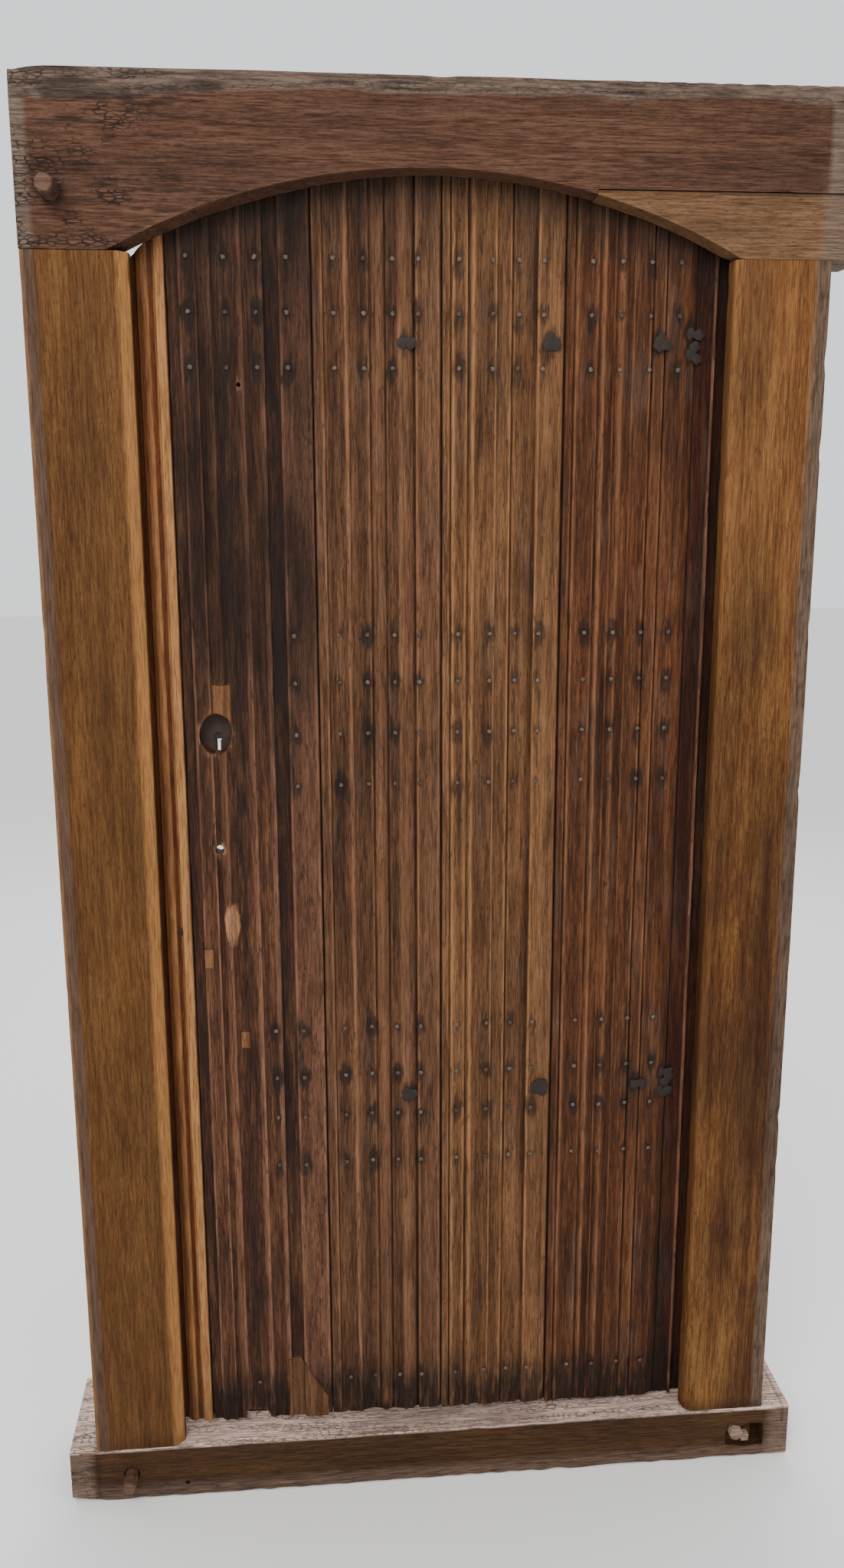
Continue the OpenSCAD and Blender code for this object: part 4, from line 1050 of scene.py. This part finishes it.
def stains_and_shadow_of(b, hollow, patches, blot, stain, smudges):
    """Dark stains at the nails, the foot, the sides, in patches and in drawn smudges, and a painted shadow
    under the lintel.
    """
    X, Z, xs = b.X, b.Z, b.xs
    # Painted shadow under the lintel: darker within about 95 mm of the plank's top.
    lintel_shadow = 0.9 * ramp(b.tops[None] - Z, 95, 22) * (0.55 + 0.6 * b.rough(12, 60, 24)) * stain
    low_dark = 1.5 * ramp(b.above, 115, 12) * b.rot * ramp(b.rough(6, 40, 22), 0.1, 0.6)
    sides = 0.85 * np.maximum(ramp(X, xs[0] + 2.2, xs[0] + 0.4), ramp(X, xs[-1] - 2.2, xs[-1] - 0.4))
    stains_and_shadow = np.maximum(np.maximum(blot * stain, low_dark), np.maximum(sides, patches * hollow))
    for x0, x1, z0, z1, share in smudges:
        inside = ramp(X, x0 - 3, x0 + 2) * ramp(X, x1 + 3, x1 - 2)
        inside = inside * ramp(Z, z0 - 25, z0 + 15) * ramp(Z, z1 + 25, z1 - 15)
        stains_and_shadow = np.maximum(stains_and_shadow, share * inside * ramp(b.rough(6, 38, 26), 0.3, 0.6))
    return np.clip(np.maximum(stains_and_shadow, lintel_shadow), 0, 1)


def fit_edges(b, obj, node, cutters):
    """Cuts a plank's groove and holes, and adds its tongue."""
    tongues, grooves = [], []
    y = LEAF_Y + 16.0
    if node != "plank_edge":
        tongues.append(bar((b.xs[-1] - 2, y, b.feet[-1] + 3), (b.xs[-1] + 6, y + 8, b.tops[-1] - 4)))
    if node != "plank_new":
        grooves.append(bar((b.xs[0] - 3, y - 0.3, b.foot - 9), (b.xs[0] + 6.6, y + 8.3, b.tops[0] + 20)))
    cut(obj, list(cutters) + grooves, tongues)


def plank(name, node, seed, material, slot, step, row, wear, rot, cutters=(), stain=1.0, ripple=None,
          smudges=(), bright=None, dusk=0.0, fresh=()):
    """A moulded plank as a closed shell: its face is the CAD's section, worn and stained, with painted
    highlight and painted shade where asked.
    """
    b = Board(node, seed, step, row, rot)
    section, ridge, hollow = b.section()
    depth = aged(b, section, ridge, wear, ripple)
    bare = bare_wood(b, depth, fresh)
    blot = nail_stains(b, depth)
    worn_edge = 1.6 * (ramp(b.X, b.xs[0] + 1.6, b.xs[0]) + ramp(b.X, b.xs[-1] - 1.6, b.xs[-1]))
    depth = np.clip(depth + worn_edge * b.soft(3, 24, 16), 0.05, 16.0)
    verts, faces = shell(b, depth)
    raised = ramp(section, 2.6, 0.4) * 0.4
    light = np.clip((ridge + raised) * (0.4 + 0.8 * b.soft(9, 60, 20)), 0, 1)
    sunk = np.maximum(hollow, 0.8 * ramp(section, 3.0, 9.0))
    dark_run = sunk * (0.25 + 0.75 * b.rough(6, 90, 21))
    patches = 0.5 * ramp(b.rough(14, 90, 23), 0.58, 0.75) * stain
    stains_and_shadow = stains_and_shadow_of(b, hollow, patches, blot, stain, smudges) * (1 - bare)
    # Painted highlight: a strip across the plank is made light through the wear mark, and its darker hollows
    # are taken out.
    if bright is not None:
        flat = ramp(b.X, bright[0] - 1, bright[0] + 2) * ramp(b.X, bright[1] + 1, bright[1] - 1)
        light = np.maximum(light, flat * (0.7 + 0.3 * b.soft(5, 70, 27)))
        dark_run = dark_run * (1 - flat)
    # Painted shade: darker towards the plank's upper part, from 850 mm up, carried with the dirt.
    shade = dusk * ramp(b.Z, 850, 1500) * (0.7 + 0.6 * b.soft(14, 90, 28))
    dirt = np.clip(np.maximum(dark_run, shade) * stain ** 2, 0, 1)
    fields = {"wear": light, "dirt": dirt, "stain": stains_and_shadow, "grey": bare if fresh else 0.35 * patches}
    spare = np.zeros(len(verts) - b.X.size)
    marks = {key: np.concatenate([field.reshape(-1), spare]) for key, field in fields.items()}
    marks["wear"][b.X.size:] = 0.45
    obj = new_object(name, verts, faces, marks)
    fit_edges(b, obj, node, cutters)
    dress(obj, material, "leaf", slot, node)


KEY_X, KEY_Z = -296.4, 1153.0
LATCH_Z = 999
KNOT = (-253, 1614)


def plank_a_cutters():
    """The holes at the lock and latch, a notch at the foot, a knot hole, and beds for the patches."""
    front, back = LEAF_Y - 4, LEDGE_Y + 4
    hole = prism(oval(KEY_X - 2, KEY_Z + 8, 21.5, 28, 40, 0.07, 3), front, back)
    latch = prism(oval(KEY_X - 2, LATCH_Z, 6, 6, 20, 0.08, 4), front, back)
    notch = prism([(KEY_X + 6, 80), (KEY_X + 44, 80), (KEY_X + 43, 106), (KEY_X + 36, 112),
                   (KEY_X + 22, 109), (KEY_X + 8, 113)], front, LEAF_Y + 20)
    patches = [hull_prism(n, front, 0.45) for n in
               ("patch_lock", "plug_upper", "plug_lower", "patch_foot_square", "patch_foot_angled")]
    knot = prism(oval(*KNOT, 2.8, 3.4, 12, 0.5, 9), front, LEAF_Y + 13)
    return [hole, latch, notch, knot] + patches


# Bare wood on the lock plank: its middle, the hole in it, its reach, and how strong.
A_FRESH = ((-285, 889, (0, 0), (11, 29), 1.0), (-298.4, 999, (5.8, 5.8), (10, 10.5), 0.7),
           (-298.4, 1161, (21, 27.6), (24.5, 31.5), 0.55), (-253, 1614, (2.4, 3), (5.5, 6.5), 0.7))
# Dark runs down the lock plank: from x, to x, from z, to z, and how strong.
A_SMUDGES = ((-282, -257, 930, 1740, 0.75), (-273, -257, 300, 1030, 0.6), (-222, -203, 1150, 1760, 0.95),
             (-220, -192, 1060, 1190, 0.8), (-203, -190, 505, 760, 0.75), (-222, -206, 150, 1080, 0.6),
             (-322, -308, 1000, 1740, 0.5), (-258, -246, 1250, 1400, 0.5), (-338, -326, 150, 1700, 0.5))


def build_planks():
    # The new plank's bright strip is a painted highlight.
    plank("plank_new_worn", "plank_new", 51, NEW_PLANK_OAK, "oak_new", 1.1, 6.0, 0.3, 0.3, stain=0.45,
          bright=(-356, -342))
    a_box = box_mm("plank_a")
    # dusk paints shade on the lock plank's upper part.
    plank("plank_a_worn", "plank_a", 61, A_OAK, "oak_old", 1.5, 5.5, 1.0, 1.0, plank_a_cutters(),
          ripple=(a_box[0][0] + 140, a_box[1][0] - 8), smudges=A_SMUDGES, dusk=0.8, fresh=A_FRESH)
    plank("plank_b_worn", "plank_b", 71, B_OAK, "oak_old", 1.5, 6.0, 0.8, 0.9)
    plank("plank_c_worn", "plank_c", 81, C_OAK, "oak_old", 1.5, 6.0, 0.7, 0.8, stain=0.85)
    plank("plank_d_worn", "plank_d", 91, D_OAK, "oak_old", 1.5, 6.0, 0.9, 1.0)
    plank("plank_edge_worn", "plank_edge", 99, EDGE_OAK, "oak_old", 1.3, 6.5, 0.7, 0.9)


# ---------- Ledges ----------


def build_ledges():
    """The back ledges, with eased edges. The top one follows the arch."""
    for seed, node in ((5, "ledge_top"), (6, "ledge_lock"), (7, "ledge_low"), (9, "ledge_foot")):
        low, high = box_mm(node)

        def section(x, low=low, high=high):
            top = min(high[2], float(leaf_top(np.array(x))))
            corners = [(low[1], low[2]), (high[1], low[2]), (high[1], top), (low[1], top)]
            return rounded(corners, [0.5, 3, 3, 0.5], [6, 22, 6, 6])

        obj = member(node + "_worn", spaced(low[0], high[0], 11.0), section, place_x,
                     timber_relief(seed, 0, 1.2, 0.5),
                     lambda points, near, worn: {"wear": 0.35 * near, "dirt": 0.2 * (1 - near)}, 4)
        dress(obj, LEDGE_OAK, "leaf", "oak_brown", node)


# ---------- Nails ----------


BOX_FACES = ((0, 1, 2, 3), (4, 7, 6, 5), (0, 4, 5, 1), (1, 5, 6, 2), (2, 6, 7, 3), (3, 7, 4, 0))


def nail_mesh(name, node, places, head_r, shank_r, material, body, clench, rise=1.2):
    """Hand-made nails: uneven domed heads, round shanks and ends hammered over."""
    verts, faces = [], []
    sides = 12
    for count, (x, y, z, back) in enumerate(places):
        start = len(verts)
        profile = [(0.35, 0.0), (0.8, 0.25), (1.0, 0.6), (0.97, rise + 0.5), (shank_r / head_r, rise + 1.2)]
        rings = [(head_r * r, y + d) for r, d in profile]
        rings.append((shank_r, back - (2.0 if clench else 0.4)))
        for k, (r, py) in enumerate(rings):
            for i in range(sides):
                a = 2 * math.pi * i / sides
                across, up = math.cos(a), math.sin(a)
                odd = 1.0
                if k < 4:
                    odd = 0.68 + 0.5 * float(noise(across * 1.9 + 7 * count, up * 1.9 + 3 + k * 0.4, 5))
                reach = min(r * odd, head_r * 1.08)
                verts.append((x + reach * across, py, z + reach * up))
        for k in range(len(rings) - 1):
            for i in range(sides):
                j = (i + 1) % sides
                a, b = start + k * sides, start + (k + 1) * sides
                faces.append((a + i, b + i, b + j, a + j))
        faces.append(tuple(start + i for i in range(sides)))
        faces.append(tuple(start + (len(rings) - 1) * sides + i for i in range(sides - 1, -1, -1)))
        if clench:
            base = len(verts)
            for px, pz in ((-1.8, 1.8), (1.8, 1.8), (1.3, -8), (-1.3, -8)):
                verts.append((x + px, back - 2.0 + (0.9 if pz < 0 else 0), z + pz))
            for px, pz in ((-1.6, 1.6), (1.6, 1.6), (0.8, -8), (-0.8, -8)):
                verts.append((x + px, back, z + pz))
            for quad in BOX_FACES:
                faces.append(tuple(base + q for q in quad))
    obj = new_object(name, verts, faces)
    dress(obj, material, body, "wrought_iron", node)


def build_ward():
    """The lock's ward, seen through the upper part of the keyhole."""
    low, high = box_mm("lock_case")
    ward = bar((-302.2, low[1] + 1, KEY_Z - 3.5), (-290.6, low[1] + 3, KEY_Z + 6))
    ward.name = "lock_ward"
    ward.data.name = "lock_ward"
    dress(ward, IRON, "leaf", "wrought_iron")


# ---------- Camera, light and floor ----------


def build_stage():
    bpy.ops.mesh.primitive_plane_add(size=30, location=(0, 0, 0))
    floor = bpy.context.object
    floor.name = "floor"
    material, tree, shader = links_of("floor_plain")
    shader.inputs["Base Color"].default_value = (0.84, 0.83, 0.81, 1)
    shader.inputs["Roughness"].default_value = 0.9
    floor.data.materials.append(material)

    world = bpy.data.worlds.new("studio")
    bpy.context.scene.world = world
    world.use_nodes = True
    world.node_tree.nodes["Background"].inputs["Color"].default_value = (0.95, 0.97, 1.0, 1)
    world.node_tree.nodes["Background"].inputs["Strength"].default_value = 1.25

    def area(name, place, target, size, power, colour=(1, 1, 1)):
        light = bpy.data.lights.new(name, "AREA")
        light.shape = "RECTANGLE"
        light.size, light.size_y = size
        light.energy = power
        light.color = colour
        obj = added(name, light)
        obj.location = place
        aim = Vector(target) - Vector(place)
        obj.rotation_euler = aim.to_track_quat("-Z", "Y").to_euler()

    area("key", (-1.0, -2.8, 3.2), (0, 0, 0.95), (1.4, 1.4), 95, (1.0, 0.98, 0.95))
    area("fill", (2.6, -2.6, 1.6), (0, 0, 0.9), (2.0, 2.4), 15, (0.95, 0.98, 1.0))
    area("back", (0.5, 3.0, 2.6), (0, 0, 1.0), (2.2, 1.8), 60)


def build_camera():
    """The photograph's view: its place, direction and lens."""
    place = np.array([-0.1817, -1.8006, 1.4758])
    yaw, pitch, roll = math.radians(5.32), math.radians(-12.51), math.radians(-0.15)
    forward = Vector((math.sin(yaw) * math.cos(pitch), math.cos(yaw) * math.cos(pitch), math.sin(pitch)))
    right = Vector((math.cos(yaw), -math.sin(yaw), 0))
    up = right.cross(forward)
    side = right * math.cos(roll) + up * math.sin(roll)
    top = up * math.cos(roll) - right * math.sin(roll)
    data = bpy.data.cameras.new("camera")
    data.sensor_width = 36
    data.lens = 36 * 1701.9 / 2048
    camera = added("camera", data)
    turn = Matrix((side, top, -forward)).transposed().to_4x4()
    camera.matrix_world = Matrix.Translation(Vector(place)) @ turn
    bpy.context.scene.camera = camera


build_camera()
build_stage()
build_jambs()
build_lintel()
build_sill()
peg("lintel_peg_whittled", "lintel_peg", 3)
peg("sill_peg_left_whittled", "sill_peg_left", 5)
build_planks()
build_ledges()
build_ward()
nail_mesh("plank_nail_set", "plank_nails", PLANK_NAILS, 3.1, 1.6, HEAD_IRON, "leaf", True)
nail_mesh("strap_nail_set", "strap_nails", STRAP_NAILS, 8.0, 3.0, NAIL_IRON, "leaf", False, 1.6)
nail_mesh("board_nail_made", "board_nail", BOARD_NAILS, 5.0, 1.8, NAIL_IRON, "leaf", False)
for node_name in ("patch_lock", "plug_upper", "plug_lower"):
    paint(node_name, PATCH_OAK)
for node_name in ("patch_foot_square", "patch_foot_angled"):
    paint(node_name, FOOT_OAK)
paint("sill_peg_right", STUB_OAK)
for node_name in ("strap_upper", "strap_lower", "pintle_upper", "pintle_lower", "lock_bolt", "keep_plate",
                  "bolt_staple", "lock_spring"):
    paint(node_name, IRON)
for node_name in ("lock_nails", "keep_nails", "edge_screws"):
    paint(node_name, NAIL_IRON)
for node_name in ("lock_plate", "lock_case"):
    paint(node_name, PLATE_IRON)
